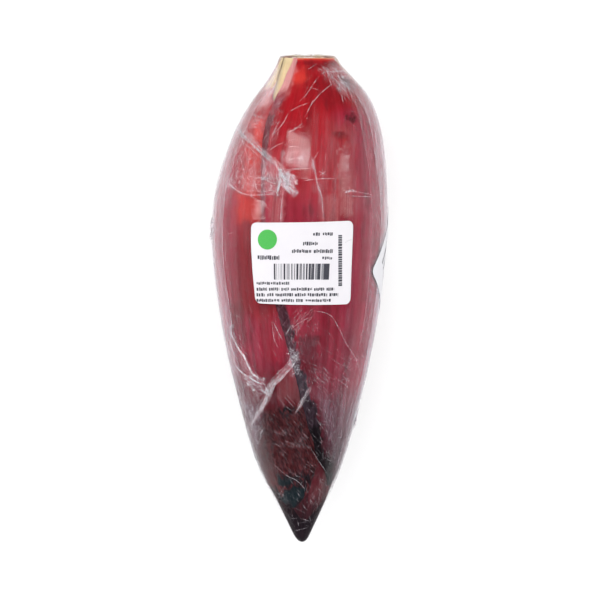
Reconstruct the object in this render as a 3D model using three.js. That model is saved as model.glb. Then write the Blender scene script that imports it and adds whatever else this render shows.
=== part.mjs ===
// Banana blossom: a pointed bud of overlapping bracts on a cut stem, tightly
// wrapped in clear cling film that carries two paper labels.
//
// Millimetres, +Z up. The blossom lies on its side: the tip points along -Y,
// the cut stem along +Y, and the belly rests on the plane Z = 0.
//
// Every piece is built on one bud surface. A place on it is (theta, s):
//   theta  degrees round the bud, 0 at the top (+Z), 90 on the +X side
//   s      millimetres along the bud's own axis, 0 at the tip
// and a depth below that surface, so the pieces nest like the real bracts do.

import * as THREE from 'three';

// ---------------------------------------------------------------- dimensions
const BUD_LENGTH = 231;        // tip to cut, along the axis
const DEPTH_TO_WIDTH = 0.96;   // height of a cross-section over its width
const AXIS_TILT = 5.0;         // degrees; the stem end sits higher than the tip
const BELLY_FLAT = 0.9;        // how much the soft belly flattens where it rests

const FILM = 0.45;             // wall of the film skin, several loose wraps
const FILM_GAP = 0.5;          // film to the first bract
const GAP = 0.4;               // between bracts
const BRACT_MID = 1.25;        // bract thickness at mid length
const BRACT_NECK = 0.5;        // bract thickness at the cut
const BRACT_TIP = 0.6;         // bract thickness towards the tip
const MARGIN = 0.45;           // share of that thickness left at a free edge

const STEM_LENGTH = 22;        // the stem stub inside the bract bases
const FILM_MOUTH = 0.42;       // radius of the film's open end over the cut's radius

const LABEL = { w: 48.4, h: 38, corner: 2.6, lift: 0.3, thick: 0.25 };
const FRONT_LABEL = { theta: 2.5, s: 136.1, turn: -0.8 };
const SIDE_LABEL = { theta: 99.8, s: 137.0, turn: 49 };

// Half width and sideways lean of the bud against distance from the tip.
const PROFILE = [
  // s, half width, lean
  [0.0, 0.0, 0.95], [0.45, 1.4, 0.93], [1.3, 2.35, 0.9], [2.75, 3.4, 0.82],
  [4.6, 4.42, 0.75], [6.5, 5.35, 0.7], [10.3, 7.16, 0.62], [14.1, 9.03, 0.54],
  [17.9, 10.93, 0.48], [21.7, 12.81, 0.4], [25.5, 14.74, 0.25], [29.3, 16.5, 0.05],
  [36.9, 19.65, -0.2], [44.4, 22.27, -0.23], [52.0, 24.5, -0.25], [63.4, 27.45, -0.26],
  [74.8, 30.3, -0.3], [86.1, 32.98, -0.38], [97.5, 35.36, -0.4], [108.9, 37.35, -0.42],
  [120.2, 38.9, -0.52], [131.6, 40.1, -0.65], [143.0, 41.05, -0.52], [150.6, 41.35, -0.2],
  [158.2, 41.2, 0.12], [165.8, 40.55, 0.6], [173.4, 39.55, 1.25], [181.0, 38.22, 2.05],
  [188.5, 36.5, 2.95], [196.1, 34.2, 3.9], [203.7, 31.2, 4.8], [211.3, 27.0, 5.5],
  [216.0, 23.6, 5.6], [218.9, 21.2, 5.4], [222.0, 18.8, 4.98], [224.0, 17.25, 4.65],
  [227.5, 14.75, 4.0], [BUD_LENGTH, 13.2, 3.6],
];

// A bract's outline: its left and right edges in degrees at each s.
const BRACTS = {
  bract_front_right: [
    [28.3, 57, 69], [34, 44, 80], [40.5, 27.7, 92], [46, 20.1, 99], [51.5, 15.4, 106], [62.4, 6.8, 116],
    [72.8, 0.6, 124], [81.4, -2.7, 130], [87, -4.8, 134], [101.3, -11, 142], [115.5, -16.1, 147],
    [134.5, -22.1, 152], [153.4, -25.7, 155], [167.6, -28.1, 158], [181.8, -32.2, 161],
    [196, -38.1, 164], [207.9, -40, 163], [215, -40.5, 159], [222.1, -40.2, 153], [BUD_LENGTH, -31, 148],
  ],
  bract_front_left: [
    [17.9, -32, -14], [22.2, -60, 4], [27.9, -85, 17], [35, -105, 23], [40.6, -115, 26],
    [49.2, -128, 29], [62.4, -140, 28], [81.4, -150, 23], [115.5, -160, 15], [153.4, -166, 10],
    [181.8, -168, 4], [196, -167, -8], [207.9, -164, -33], [212.2, -162, -46],
    [215, -160, -49], [222.1, -155, -59], [226, -152.5, -65], [BUD_LENGTH, -150, -70],
  ],
  bract_underside: [
    [35, 180, 200], [45, 160, 222], [62, 141, 240], [86, 125, 254], [115, 113, 265],
    [153.4, 104, 271], [185, 101, 273], [205, 104, 270], [218, 110, 264], [BUD_LENGTH, 118, 256],
  ],
  bract_inner_front: [
    [11.5, 0, 24], [18, -28, 52], [26, -48, 74], [40, -64, 92], [62, -74, 104],
    [86, -80, 111], [120, -84, 117], [153.4, -86, 120], [185, -88, 121], [205, -92, 120],
    [218, -98, 116], [BUD_LENGTH, -104, 108],
  ],
};

const COLOURS = {
  stem_core: [0xd9c98a, 0.6],
  heart_bracts: [0x3d1420, 0.5],
  bract_inner_front: [0x7d2a2c, 0.45],
  bract_underside: [0x84202f, 0.45],
  bract_front_left: [0xa9242f, 0.42],
  bract_front_right: [0x9a1b2c, 0.42],
  cling_film: [0xe9e4ec, 0.15],
  front_label: [0xf7f6fb, 0.6],
  side_label: [0xeef0f2, 0.6],
};

// ------------------------------------------------------------ interpolation
const RAD = Math.PI / 180;

function smoothstep(a, b, x) {
  const t = Math.min(1, Math.max(0, (x - a) / (b - a)));
  return t * t * (3 - 2 * t);
}

// Monotone cubic through the rows of a table, column c against column 0.
function curve(table, c) {
  const n = table.length;
  const slope = [];
  for (let i = 0; i < n - 1; i++) {
    slope.push((table[i + 1][c] - table[i][c]) / (table[i + 1][0] - table[i][0]));
  }
  const m = table.map((_, i) => {
    if (i === 0) return slope[0];
    if (i === n - 1) return slope[n - 2];
    const a = slope[i - 1], b = slope[i];
    return a * b <= 0 ? 0 : (2 * a * b) / (a + b);
  });
  return (x) => {
    if (x <= table[0][0]) return table[0][c];
    if (x >= table[n - 1][0]) return table[n - 1][c];
    let i = 0;
    while (x > table[i + 1][0]) i++;
    const h = table[i + 1][0] - table[i][0];
    const t = (x - table[i][0]) / h;
    const t2 = t * t, t3 = t2 * t;
    return (2 * t3 - 3 * t2 + 1) * table[i][c] + (t3 - 2 * t2 + t) * h * m[i]
      + (3 * t2 - 2 * t3) * table[i + 1][c] + (t3 - t2) * h * m[i + 1];
  };
}

const halfWidth = curve(PROFILE, 1);
const lean = curve(PROFILE, 2);

// ------------------------------------------------------------- bud surface
function onBud(theta, s) {
  const r = halfWidth(s), a = theta * RAD;
  return new THREE.Vector3(
    lean(s) + r * Math.sin(a), s, r * DEPTH_TO_WIDTH * Math.cos(a));
}

function normalAt(theta, s) {
  if (s < 0.02) return new THREE.Vector3(0, -1, 0);
  const ds = Math.min(0.3, s * 0.5);
  const round = onBud(theta + 1, s).sub(onBud(theta - 1, s));
  const along = onBud(theta, Math.min(BUD_LENGTH, s + ds)).sub(onBud(theta, s - ds));
  return round.cross(along).normalize();
}

// Turns the bud so that its belly is level and sets it on the floor.
const turn = new THREE.Matrix4().makeRotationX(AXIS_TILT * RAD);
let lowest = Infinity;
for (let s = 100; s < 190; s += 0.5) {
  lowest = Math.min(lowest, onBud(180, s).applyMatrix4(turn).z);
}
const lift = -lowest - BELLY_FLAT;

function settle(p, depth) {
  p.applyMatrix4(turn);
  p.z = Math.max(p.z + lift, depth);
  return p;
}

// A place at a depth below the bud's outer surface, resting on the floor.
function place(theta, s, depth) {
  return settle(onBud(theta, s).addScaledVector(normalAt(theta, s), -depth), depth);
}

// A place on the cut: f is the share of the cut's radius.
function onCut(theta, f, depth, below) {
  const rim = onBud(theta, BUD_LENGTH).addScaledVector(
    new THREE.Vector3(Math.sin(theta * RAD), 0, Math.cos(theta * RAD)), -depth);
  const middle = new THREE.Vector3(lean(BUD_LENGTH), BUD_LENGTH, 0);
  const p = middle.clone().lerp(rim, f);
  p.y = BUD_LENGTH - below;
  return settle(p, depth);
}

// ------------------------------------------------------------ bract layers
const ORDER = ['bract_front_right', 'bract_front_left', 'bract_underside', 'bract_inner_front'];
const edges = {};
for (const name of ORDER) {
  edges[name] = { tip: BRACTS[name][0][0], left: curve(BRACTS[name], 1), right: curve(BRACTS[name], 2) };
}

function bractThickness(s) {
  const towardsNeck = smoothstep(150, 215, s), towardsTip = 1 - smoothstep(15, 75, s);
  return BRACT_MID + (BRACT_NECK - BRACT_MID) * towardsNeck + (BRACT_TIP - BRACT_MID) * towardsTip;
}

// How fully a bract covers a place: 1 under it and a little past its edges.
function cover(name, theta, s) {
  const e = edges[name];
  const at = Math.max(s, e.tip);
  const mid = (e.left(at) + e.right(at)) / 2, half = (e.right(at) - e.left(at)) / 2;
  let off = Math.abs(((theta - mid) % 360 + 540) % 360 - 180) - half;
  off *= RAD * Math.max(halfWidth(s), 6);
  const past = e.tip - s;
  return (1 - smoothstep(8, 25, off)) * (1 - smoothstep(4, 11, past));
}

// Depth of the outer side of layer k at a place: the layers above push it in.
function layerDepth(k, theta, s) {
  let d = FILM + FILM_GAP;
  for (let j = 0; j < k; j++) {
    d += (bractThickness(s) + GAP) * cover(ORDER[j], theta, s);
  }
  return d;
}

// ------------------------------------------------------------ mesh builders
function geometryOf(points, triangles) {
  const g = new THREE.BufferGeometry();
  g.setAttribute('position', new THREE.Float32BufferAttribute(points.flatMap((p) => [p.x, p.y, p.z]), 3));
  g.setIndex(triangles);
  g.computeVertexNormals();
  return g;
}

// A closed body from rings that run from one pole to the other. A pole is a
// ring of one point.
function ringsToGeometry(rings) {
  const points = [], start = [], tri = [];
  for (const ring of rings) {
    start.push(points.length);
    points.push(...ring);
  }
  for (let j = 0; j + 1 < rings.length; j++) {
    const a = rings[j], b = rings[j + 1], n = Math.max(a.length, b.length);
    for (let i = 0; i < n; i++) {
      const k = (i + 1) % n;
      if (a.length === 1) tri.push(start[j], start[j + 1] + k, start[j + 1] + i);
      else if (b.length === 1) tri.push(start[j] + i, start[j] + k, start[j + 1]);
      else {
        tri.push(start[j] + i, start[j] + k, start[j + 1] + k);
        tri.push(start[j] + i, start[j + 1] + k, start[j + 1] + i);
      }
    }
  }
  return geometryOf(points, tri);
}

// A closed plate from an outer and an inner grid of the same size, [row][column].
function plateToGeometry(outer, inner) {
  const rows = outer.length, cols = outer[0].length, n = rows * cols;
  const points = [...outer.flat(), ...inner.flat()], tri = [];
  const o = (j, i) => j * cols + i, q = (j, i) => n + j * cols + i;
  for (let j = 0; j + 1 < rows; j++) {
    for (let i = 0; i + 1 < cols; i++) {
      tri.push(o(j, i), o(j, i + 1), o(j + 1, i + 1), o(j, i), o(j + 1, i + 1), o(j + 1, i));
      tri.push(q(j, i), q(j + 1, i + 1), q(j, i + 1), q(j, i), q(j + 1, i), q(j + 1, i + 1));
    }
  }
  for (let i = 0; i + 1 < cols; i++) {
    tri.push(o(0, i), q(0, i), q(0, i + 1), o(0, i), q(0, i + 1), o(0, i + 1));
    const r = rows - 1;
    tri.push(o(r, i), q(r, i + 1), q(r, i), o(r, i), o(r, i + 1), q(r, i + 1));
  }
  for (let j = 0; j + 1 < rows; j++) {
    tri.push(o(j, 0), q(j + 1, 0), q(j, 0), o(j, 0), o(j + 1, 0), q(j + 1, 0));
    const c = cols - 1;
    tri.push(o(j, c), q(j, c), q(j + 1, c), o(j, c), q(j + 1, c), o(j + 1, c));
  }
  return geometryOf(points, tri);
}

function ringOf(n, f) {
  return Array.from({ length: n }, (_, i) => f((360 * i) / n));
}

// ---------------------------------------------------------------- the pieces
const meshes = [];
function add(name, geometry) {
  const [color, roughness] = COLOURS[name];
  const material = new THREE.MeshStandardMaterial({ color, roughness, metalness: 0 });
  material.name = name;
  const mesh = new THREE.Mesh(geometry, material);
  mesh.name = name;
  meshes.push(mesh);
}

// Rows along the bud, closer together where it curves most.
const ROWS = [1.0, 3.2, 6.5, 11, 17, 24, 32, 41, 51, 62, 74, 86, 98, 110, 122, 134, 145, 156,
  166, 175, 183, 190, 196.5, 202.5, 208, 213.5, 219, 224, 228];

// Peduncle: the cut stem, ringed by the bract bases.
{
  const N = 24, top = BUD_LENGTH - FILM - 0.4;
  const deep = (theta, s) => layerDepth(4, theta, s) + 0.45;
  const rings = [[settle(new THREE.Vector3(lean(220), BUD_LENGTH - STEM_LENGTH, 0), 0)]];
  for (const [f, s] of [[0.5, 209.3], [0.86, 210.4], [1, 213], [1, 219], [1, 225]]) {
    rings.push(ringOf(N, (t) => {
      const p = onBud(t, s), m = new THREE.Vector3(lean(s), s, 0);
      p.addScaledVector(normalAt(t, s), -deep(t, s));
      const wide = halfWidth(BUD_LENGTH) + 2.5;
      const across = Math.hypot(p.x - m.x, p.z);
      if (across > wide) p.sub(m).multiplyScalar(wide / across).add(m);
      return settle(p.sub(m).multiplyScalar(f).add(m), 0);
    }));
  }
  rings.push(ringOf(N, (t) => onCut(t, 1, deep(t, BUD_LENGTH), BUD_LENGTH - top)));
  rings.push([settle(new THREE.Vector3(lean(BUD_LENGTH), top, 0), 0)]);
  add('stem_core', ringsToGeometry(rings));
}

// Heart: the closed inner bracts, whose point is the tip of the bud.
{
  const N = 32, base = BUD_LENGTH - STEM_LENGTH - 1.2;
  const rings = [[place(0, 0, FILM + FILM_GAP)]];
  for (const s of [1.4, 3.4, 6.5, 10, 14, 19, 25, 32, 41, 51, 62, 74, 86, 98, 110, 122, 134, 145, 156, 166, 175, 183, 190, 196, 201, 205]) {
    rings.push(ringOf(N, (t) => place(t, s, layerDepth(4, t, s) + 0.15 * smoothstep(5, 20, s))));
  }
  const foot = new THREE.Vector3(lean(base), base, 0);
  for (const f of [0.86, 0.55]) {
    rings.push(ringOf(N, (t) => {
      const p = onBud(t, 205).addScaledVector(normalAt(t, 205), -layerDepth(4, t, 205) - 0.15);
      p.y = base - (f > 0.7 ? 1.1 : 0.1);
      return settle(new THREE.Vector3(foot.x, p.y, 0).lerp(p, f), 0);
    }));
  }
  rings.push([settle(foot.clone(), 0)]);
  add('heart_bracts', ringsToGeometry(rings));
}

// Bracts, from the innermost of the four to the outermost.
for (let k = ORDER.length - 1; k >= 0; k--) {
  const name = ORDER[k], e = edges[name], cols = 18;
  const end = BUD_LENGTH - FILM - 0.4;
  const rows = [e.tip, e.tip + 2, ...ROWS.filter((s) => s > e.tip + 4.5), end];
  const outer = [], inner = [];
  for (const s of rows) {
    const a = e.left(s), b = e.right(s), o = [], q = [];
    for (let i = 0; i <= cols; i++) {
      const u = (2 * i) / cols - 1;
      const x = Math.sign(u) * (1 - Math.pow(1 - Math.abs(u), 1.25));
      const theta = (a + b) / 2 + (x * (b - a)) / 2;
      const depth = layerDepth(k, theta, s);
      const thin = MARGIN + (1 - MARGIN) * (1 - Math.pow(Math.abs(x), 4));
      const wall = bractThickness(s) * thin * (0.55 + 0.45 * smoothstep(0, 9, s - e.tip));
      o.push(s === end ? onCut(theta, 1, depth, BUD_LENGTH - end) : place(theta, s, depth));
      q.push(s === end ? onCut(theta, 1, depth + wall, BUD_LENGTH - end) : place(theta, s, depth + wall));
    }
    outer.push(o);
    inner.push(q);
  }
  add(name, plateToGeometry(outer, inner));
}

// Cling film: a skin round the whole bud, turned in over the cut and open in
// the middle of it.
{
  const N = 40;
  const rings = [[place(0, 0, 0)]];
  for (const s of ROWS) rings.push(ringOf(N, (t) => place(t, s, 0)));
  rings.push(ringOf(N, (t) => onCut(t, 1, 0, 0.7)));
  rings.push(ringOf(N, (t) => onCut(t, 0.93, 0, 0)));
  rings.push(ringOf(N, (t) => onCut(t, FILM_MOUTH, 0, 0)));
  rings.push(ringOf(N, (t) => onCut(t, FILM_MOUTH, 0, FILM)));
  rings.push(ringOf(N, (t) => onCut(t, 0.95, FILM, FILM)));
  rings.push(ringOf(N, (t) => onCut(t, 1, FILM, 1.0)));
  for (const s of [...ROWS].reverse()) rings.push(ringOf(N, (t) => place(t, s, FILM)));
  rings.push([place(0, 0, FILM)]);
  add('cling_film', ringsToGeometry(rings));
}

// Paper labels with rounded corners, bent round the film.
function label(name, at) {
  const { w, h, corner, lift: up, thick } = LABEL;
  const R = halfWidth(at.s), c = Math.cos(at.turn * RAD), d = Math.sin(at.turn * RAD);
  const rows = [];
  for (const f of [1, 0.93, 0.75, 0.4, 0]) rows.push(-h / 2 + corner * (1 - f));
  for (let i = 1; i < 8; i++) rows.push(-h / 2 + corner + ((h - 2 * corner) * i) / 8);
  for (const f of [0, 0.4, 0.75, 0.93, 1]) rows.push(h / 2 - corner * (1 - f));
  const outer = [], inner = [];
  for (const b of rows) {
    const into = Math.max(0, Math.abs(b) - (h / 2 - corner));
    const half = w / 2 - corner + Math.sqrt(Math.max(0, corner * corner - into * into));
    const o = [], q = [];
    for (let i = 0; i <= 12; i++) {
      const a = half * ((2 * i) / 12 - 1);
      const theta = at.theta + (a * c - b * d) / R / RAD, s = at.s + a * d + b * c;
      o.push(place(theta, s, -up - thick));
      q.push(place(theta, s, -up));
    }
    outer.push(o);
    inner.push(q);
  }
  add(name, plateToGeometry(outer, inner));
}
label('front_label', FRONT_LABEL);
label('side_label', SIDE_LABEL);

// -------------------------------------------------- origin: middle of the base
const box = new THREE.Box3();
for (const m of meshes) {
  m.geometry.computeBoundingBox();
  box.union(m.geometry.boundingBox);
}
const shift = new THREE.Vector3(-(box.min.x + box.max.x) / 2, -(box.min.y + box.max.y) / 2, -box.min.z);
const banana_blossom = new THREE.Group();
banana_blossom.name = 'banana_blossom';
for (const m of meshes) {
  m.geometry.translate(shift.x, shift.y, shift.z);
  banana_blossom.add(m);
}

export default banana_blossom;
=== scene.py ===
"""Banana blossom in cling film: the looks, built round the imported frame.

Every piece is laid on one bud surface. A place on it is (theta, s): theta in degrees round the
bud, 0 at the top and 90 on the +X side, s in millimetres along the bud from its tip, and a depth
below the film's outside. The numbers are those of the construction model.
"""

import math

import bpy
import numpy as np
from mathutils import Matrix, Vector


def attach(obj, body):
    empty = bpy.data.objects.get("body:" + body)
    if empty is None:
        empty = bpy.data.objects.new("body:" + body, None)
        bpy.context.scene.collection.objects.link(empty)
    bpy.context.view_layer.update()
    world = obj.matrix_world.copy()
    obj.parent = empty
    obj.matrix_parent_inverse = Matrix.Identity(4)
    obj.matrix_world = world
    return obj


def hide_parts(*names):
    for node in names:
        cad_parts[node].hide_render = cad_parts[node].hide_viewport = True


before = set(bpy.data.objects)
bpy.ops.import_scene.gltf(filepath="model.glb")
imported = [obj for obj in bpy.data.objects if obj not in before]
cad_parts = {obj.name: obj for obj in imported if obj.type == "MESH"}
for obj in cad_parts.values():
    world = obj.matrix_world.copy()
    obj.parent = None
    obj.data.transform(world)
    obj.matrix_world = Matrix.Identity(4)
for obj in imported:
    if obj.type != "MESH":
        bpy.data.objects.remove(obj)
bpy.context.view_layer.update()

MM = 0.001
RAD = math.pi / 180

# ------------------------------------------------------------------ the bud's surface
BUD_LENGTH = 231.0
DEPTH_TO_WIDTH = 0.96
AXIS_TILT = 5.0
LIFT = 25.992202653517495
SHIFT = np.array([-0.1209602, -115.57405, 0.0])
FILM_MOUTH = 0.42

PROFILE = np.array([
    [0.0, 0.0, 0.95], [0.45, 1.4, 0.93], [1.3, 2.35, 0.9], [2.75, 3.4, 0.82],
    [4.6, 4.42, 0.75], [6.5, 5.35, 0.7], [10.3, 7.16, 0.62], [14.1, 9.03, 0.54],
    [17.9, 10.93, 0.48], [21.7, 12.81, 0.4], [25.5, 14.74, 0.25], [29.3, 16.5, 0.05],
    [36.9, 19.65, -0.2], [44.4, 22.27, -0.23], [52.0, 24.5, -0.25], [63.4, 27.45, -0.26],
    [74.8, 30.3, -0.3], [86.1, 32.98, -0.38], [97.5, 35.36, -0.4], [108.9, 37.35, -0.42],
    [120.2, 38.9, -0.52], [131.6, 40.1, -0.65], [143.0, 41.05, -0.52], [150.6, 41.35, -0.2],
    [158.2, 41.2, 0.12], [165.8, 40.55, 0.6], [173.4, 39.55, 1.25], [181.0, 38.22, 2.05],
    [188.5, 36.5, 2.95], [196.1, 34.2, 3.9], [203.7, 31.2, 4.8], [211.3, 27.0, 5.5],
    [216.0, 23.6, 5.6], [218.9, 21.2, 5.4], [222.0, 18.8, 4.98], [224.0, 17.25, 4.65],
    [227.5, 14.75, 4.0], [231.0, 13.2, 3.6]])

BRACTS = {
    "bract_front_right": np.array([
        [28.3, 57, 69], [34, 44, 80], [40.5, 27.7, 92], [46, 20.1, 99], [51.5, 15.4, 106], [62.4, 6.8, 116],
        [72.8, 0.6, 124], [81.4, -2.7, 130], [87, -4.8, 134], [101.3, -11, 142], [115.5, -16.1, 147],
        [134.5, -22.1, 152], [153.4, -25.7, 155], [167.6, -28.1, 158], [181.8, -32.2, 161],
        [196, -38.1, 164], [207.9, -40, 163], [215, -40.5, 159], [222.1, -40.2, 153], [231, -31, 148]], float),
    "bract_front_left": np.array([
        [17.9, -32, -14], [22.2, -60, 4], [27.9, -85, 17], [35, -105, 23], [40.6, -115, 26],
        [49.2, -128, 29], [62.4, -140, 28], [81.4, -150, 23], [115.5, -160, 15], [153.4, -166, 10],
        [181.8, -168, 4], [196, -167, -8], [207.9, -164, -33], [212.2, -162, -46],
        [215, -160, -49], [222.1, -155, -59], [226, -152.5, -65], [231, -150, -70]], float),
    "bract_underside": np.array([
        [35, 180, 200], [45, 160, 222], [62, 141, 240], [86, 125, 254], [115, 113, 265],
        [153.4, 104, 271], [185, 101, 273], [205, 104, 270], [218, 110, 264], [231, 118, 256]], float),
    "bract_inner_front": np.array([
        [11.5, 0, 24], [18, -28, 52], [26, -48, 74], [40, -64, 92], [62, -74, 104],
        [86, -80, 111], [120, -84, 117], [153.4, -86, 120], [185, -88, 121], [205, -92, 120],
        [218, -98, 116], [231, -104, 108]], float),
}
ORDER = ["bract_front_right", "bract_front_left", "bract_underside", "bract_inner_front"]
SKIN = 0.7            # film's outside to the first bract, as seen
GAP = 0.4
LABEL = dict(w=48.4, h=38.0, corner=2.6, lift=0.12, thick=0.18)
FRONT_LABEL = dict(theta=2.5, s=136.1, turn=-0.8)
SIDE_LABEL = dict(theta=99.8, s=137.0, turn=49.0)


def smooth(a, b, x):
    t = np.clip((np.asarray(x, float) - a) / (b - a), 0, 1)
    return t * t * (3 - 2 * t)


def curve(rows, c):
    """Monotone cubic through the rows, column c against column 0."""
    x, y = rows[:, 0], rows[:, c]
    d = np.diff(y) / np.diff(x)
    m = np.empty(len(x))
    m[0], m[-1] = d[0], d[-1]
    a, b = d[:-1], d[1:]
    both = np.where(a * b > 0, a + b, 1.0)
    m[1:-1] = np.where(a * b > 0, 2 * a * b / both, 0.0)

    def f(q):
        q = np.clip(np.asarray(q, float), x[0], x[-1])
        i = np.clip(np.searchsorted(x, q, side="left") - 1, 0, len(x) - 2)
        h = x[i + 1] - x[i]
        t = (q - x[i]) / h
        t2, t3 = t * t, t * t * t
        return ((2 * t3 - 3 * t2 + 1) * y[i] + (t3 - 2 * t2 + t) * h * m[i]
                + (3 * t2 - 2 * t3) * y[i + 1] + (t3 - t2) * h * m[i + 1])
    return f


half_width, lean = curve(PROFILE, 1), curve(PROFILE, 2)


def on_bud(theta, s):
    r, a = half_width(s), np.asarray(theta, float) * RAD
    s = np.broadcast_to(np.asarray(s, float), np.broadcast(r, a).shape)
    return np.stack([lean(s) + r * np.sin(a), s, r * DEPTH_TO_WIDTH * np.cos(a)], -1)


def normal_at(theta, s):
    theta, s = np.broadcast_arrays(np.asarray(theta, float), np.asarray(s, float))
    ds = np.minimum(0.3, np.maximum(s, 0.02) * 0.5)
    around = on_bud(theta + 1, s) - on_bud(theta - 1, s)
    along = on_bud(theta, np.minimum(BUD_LENGTH, s + ds)) - on_bud(theta, s - ds)
    n = np.cross(around, along)
    n /= np.maximum(np.linalg.norm(n, axis=-1, keepdims=True), 1e-12)
    n[s < 0.02] = (0, -1, 0)
    return n


COS_T, SIN_T = math.cos(AXIS_TILT * RAD), math.sin(AXIS_TILT * RAD)


def settle(p, depth):
    """Turns the bud so that its belly is level, on the floor."""
    y = p[..., 1] * COS_T - p[..., 2] * SIN_T
    z = p[..., 1] * SIN_T + p[..., 2] * COS_T + LIFT
    z = np.maximum(z, np.maximum(depth, 0.0))
    return np.stack([p[..., 0], y, z], -1) + SHIFT


def tilted(n):
    return np.stack([n[..., 0], n[..., 1] * COS_T - n[..., 2] * SIN_T,
                     n[..., 1] * SIN_T + n[..., 2] * COS_T], -1)


def place(theta, s, depth):
    depth = np.asarray(depth, float)
    return settle(on_bud(theta, s) - normal_at(theta, s) * depth[..., None], depth)


def on_cut(theta, f, depth, below):
    """A place on the cut: f is the share of the cut's radius."""
    a = np.asarray(theta, float) * RAD
    f, depth, below = (np.broadcast_to(np.asarray(x, float), a.shape) for x in (f, depth, below))
    rim = on_bud(theta, np.full(a.shape, BUD_LENGTH))
    x = rim[..., 0] - np.sin(a) * depth
    z = rim[..., 2] - np.cos(a) * depth
    mid = float(lean(BUD_LENGTH))
    p = np.stack([mid + (x - mid) * f, BUD_LENGTH - below, z * f], -1)
    return settle(p, depth)


# The photograph's frame: 600 px, the camera 1.25 m above the floor looking straight down.
CAMERA_HEIGHT = 1250.0
CAMERA_X = -0.14118
PX = 2563.5


def seen(p):
    """Pixel of a place in millimetres."""
    k = PX / (CAMERA_HEIGHT - p[..., 2])
    return 300 + (p[..., 0] - CAMERA_X) * k, 300 - p[..., 1] * k


_gt, _gs = np.meshgrid(np.arange(-87, 88, 3.0), np.arange(0.5, 230.6, 2.5))
_gx, _gy = seen(place(_gt, _gs, np.zeros_like(_gt)))
_gt, _gs, _gx, _gy = (v.ravel() for v in (_gt, _gs, _gx, _gy))


def under(px, py):
    """(theta, s) of the film under each pixel."""
    px, py = np.atleast_1d(np.asarray(px, float)), np.atleast_1d(np.asarray(py, float))
    best = np.empty(len(px), int)
    for i in range(0, len(px), 2000):
        d = (px[i:i + 2000, None] - _gx) ** 2 + (py[i:i + 2000, None] - _gy) ** 2
        best[i:i + 2000] = d.argmin(1)
    t, s = _gt[best].copy(), _gs[best].copy()
    zero = np.zeros(len(t))
    for _ in range(7):
        x, y = seen(place(t, s, zero))
        xt, yt = seen(place(t + 0.2, s, zero))
        xs, ys = seen(place(t, s + 0.2, zero))
        a, b, c, d = (xt - x) / 0.2, (xs - x) / 0.2, (yt - y) / 0.2, (ys - y) / 0.2
        det = a * d - b * c
        det = np.where(np.abs(det) < 0.05, 0.05 * np.sign(det + 1e-9), det)
        ex, ey = px - x, py - y
        t = np.clip(t + np.clip((d * ex - b * ey) / det, -3, 3), -89, 89)
        s = np.clip(s + np.clip((a * ey - c * ex) / det, -3, 3), 0.3, 230.8)
    return t, s


# ------------------------------------------------------------------ noise
class Noise:
    """Gradient noise in three dimensions, about -1 to 1."""

    def __init__(self, seed):
        r = np.random.RandomState(seed)
        self.p = np.concatenate([r.permutation(256)] * 2)
        g = r.normal(size=(256, 3))
        self.g = g / np.linalg.norm(g, axis=1, keepdims=True)

    def __call__(self, x, y, z):
        x, y, z = np.broadcast_arrays(*(np.asarray(v, float) for v in (x, y, z)))
        fl = [np.floor(v) for v in (x, y, z)]
        i, j, k = (v.astype(np.int64) & 255 for v in fl)
        u, v, w = x - fl[0], y - fl[1], z - fl[2]
        fu, fv, fw = (q * q * q * (q * (q * 6 - 15) + 10) for q in (u, v, w))
        total = 0.0
        for di in (0, 1):
            wi = fu if di else 1 - fu
            for dj in (0, 1):
                wj = fv if dj else 1 - fv
                for dk in (0, 1):
                    wk = fw if dk else 1 - fw
                    h = self.p[(self.p[(self.p[(i + di) & 255] + j + dj) & 255] + k + dk) & 255]
                    g = self.g[h]
                    dot = g[..., 0] * (u - di) + g[..., 1] * (v - dj) + g[..., 2] * (w - dk)
                    total = total + wi * wj * wk * dot
        return total * 1.6

    def fbm(self, x, y, z, octaves=3, gain=0.5):
        total, amp = 0.0, 1.0
        for o in range(octaves):
            total = total + amp * self(x * 2 ** o + 17.3 * o, y * 2 ** o + 5.1 * o, z * 2 ** o + 9.7 * o)
            amp *= gain
        return total

    def ridged(self, x, y, z, octaves=3, gain=0.5):
        """0 to about 1, with sharp crests."""
        total, amp, norm = 0.0, 1.0, 0.0
        for o in range(octaves):
            n = self(x * 2 ** o + 31.7 * o, y * 2 ** o + 3.3 * o, z * 2 ** o + 12.9 * o)
            total = total + amp * (1 - np.minimum(np.abs(n) * 2.2, 1)) ** 2
            norm += amp
            amp *= gain
        return total / norm


R0 = 38.0


def bud_vector(theta, s):
    """A place spread on a cylinder, so that streaks follow the bud's meridians to its tip."""
    a = np.asarray(theta, float) * RAD
    s = np.broadcast_to(np.asarray(s, float), a.shape)
    return np.stack([R0 * np.sin(a), R0 * np.cos(a), s], -1)


# ------------------------------------------------------------------ shapes painted by place
def blob(px, py, cx, cy, rx, ry, turn=0.0, soft=1.0):
    """1 in the middle of an ellipse, falling to 0 at its edge."""
    c, d = math.cos(turn * RAD), math.sin(turn * RAD)
    x, y = px - cx, py - cy
    u, v = (x * c + y * d) / rx, (-x * d + y * c) / ry
    return (1 - smooth(0, 1, np.sqrt(u * u + v * v))) ** soft


def from_line(px, py, points):
    """(distance to a polyline, share of the way along it)."""
    pts = np.asarray(points, float)
    seg = np.diff(pts, axis=0)
    length = np.linalg.norm(seg, axis=1)
    start = np.concatenate([[0], np.cumsum(length)])
    best, at = np.full(px.shape, 1e9), np.zeros(px.shape)
    for k in range(len(seg)):
        dx, dy = px - pts[k, 0], py - pts[k, 1]
        t = np.clip((dx * seg[k, 0] + dy * seg[k, 1]) / max(length[k] ** 2, 1e-9), 0, 1)
        d = np.hypot(dx - t * seg[k, 0], dy - t * seg[k, 1])
        near = d < best
        best = np.where(near, d, best)
        at = np.where(near, (start[k] + t * length[k]) / start[-1], at)
    return best, at


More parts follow.
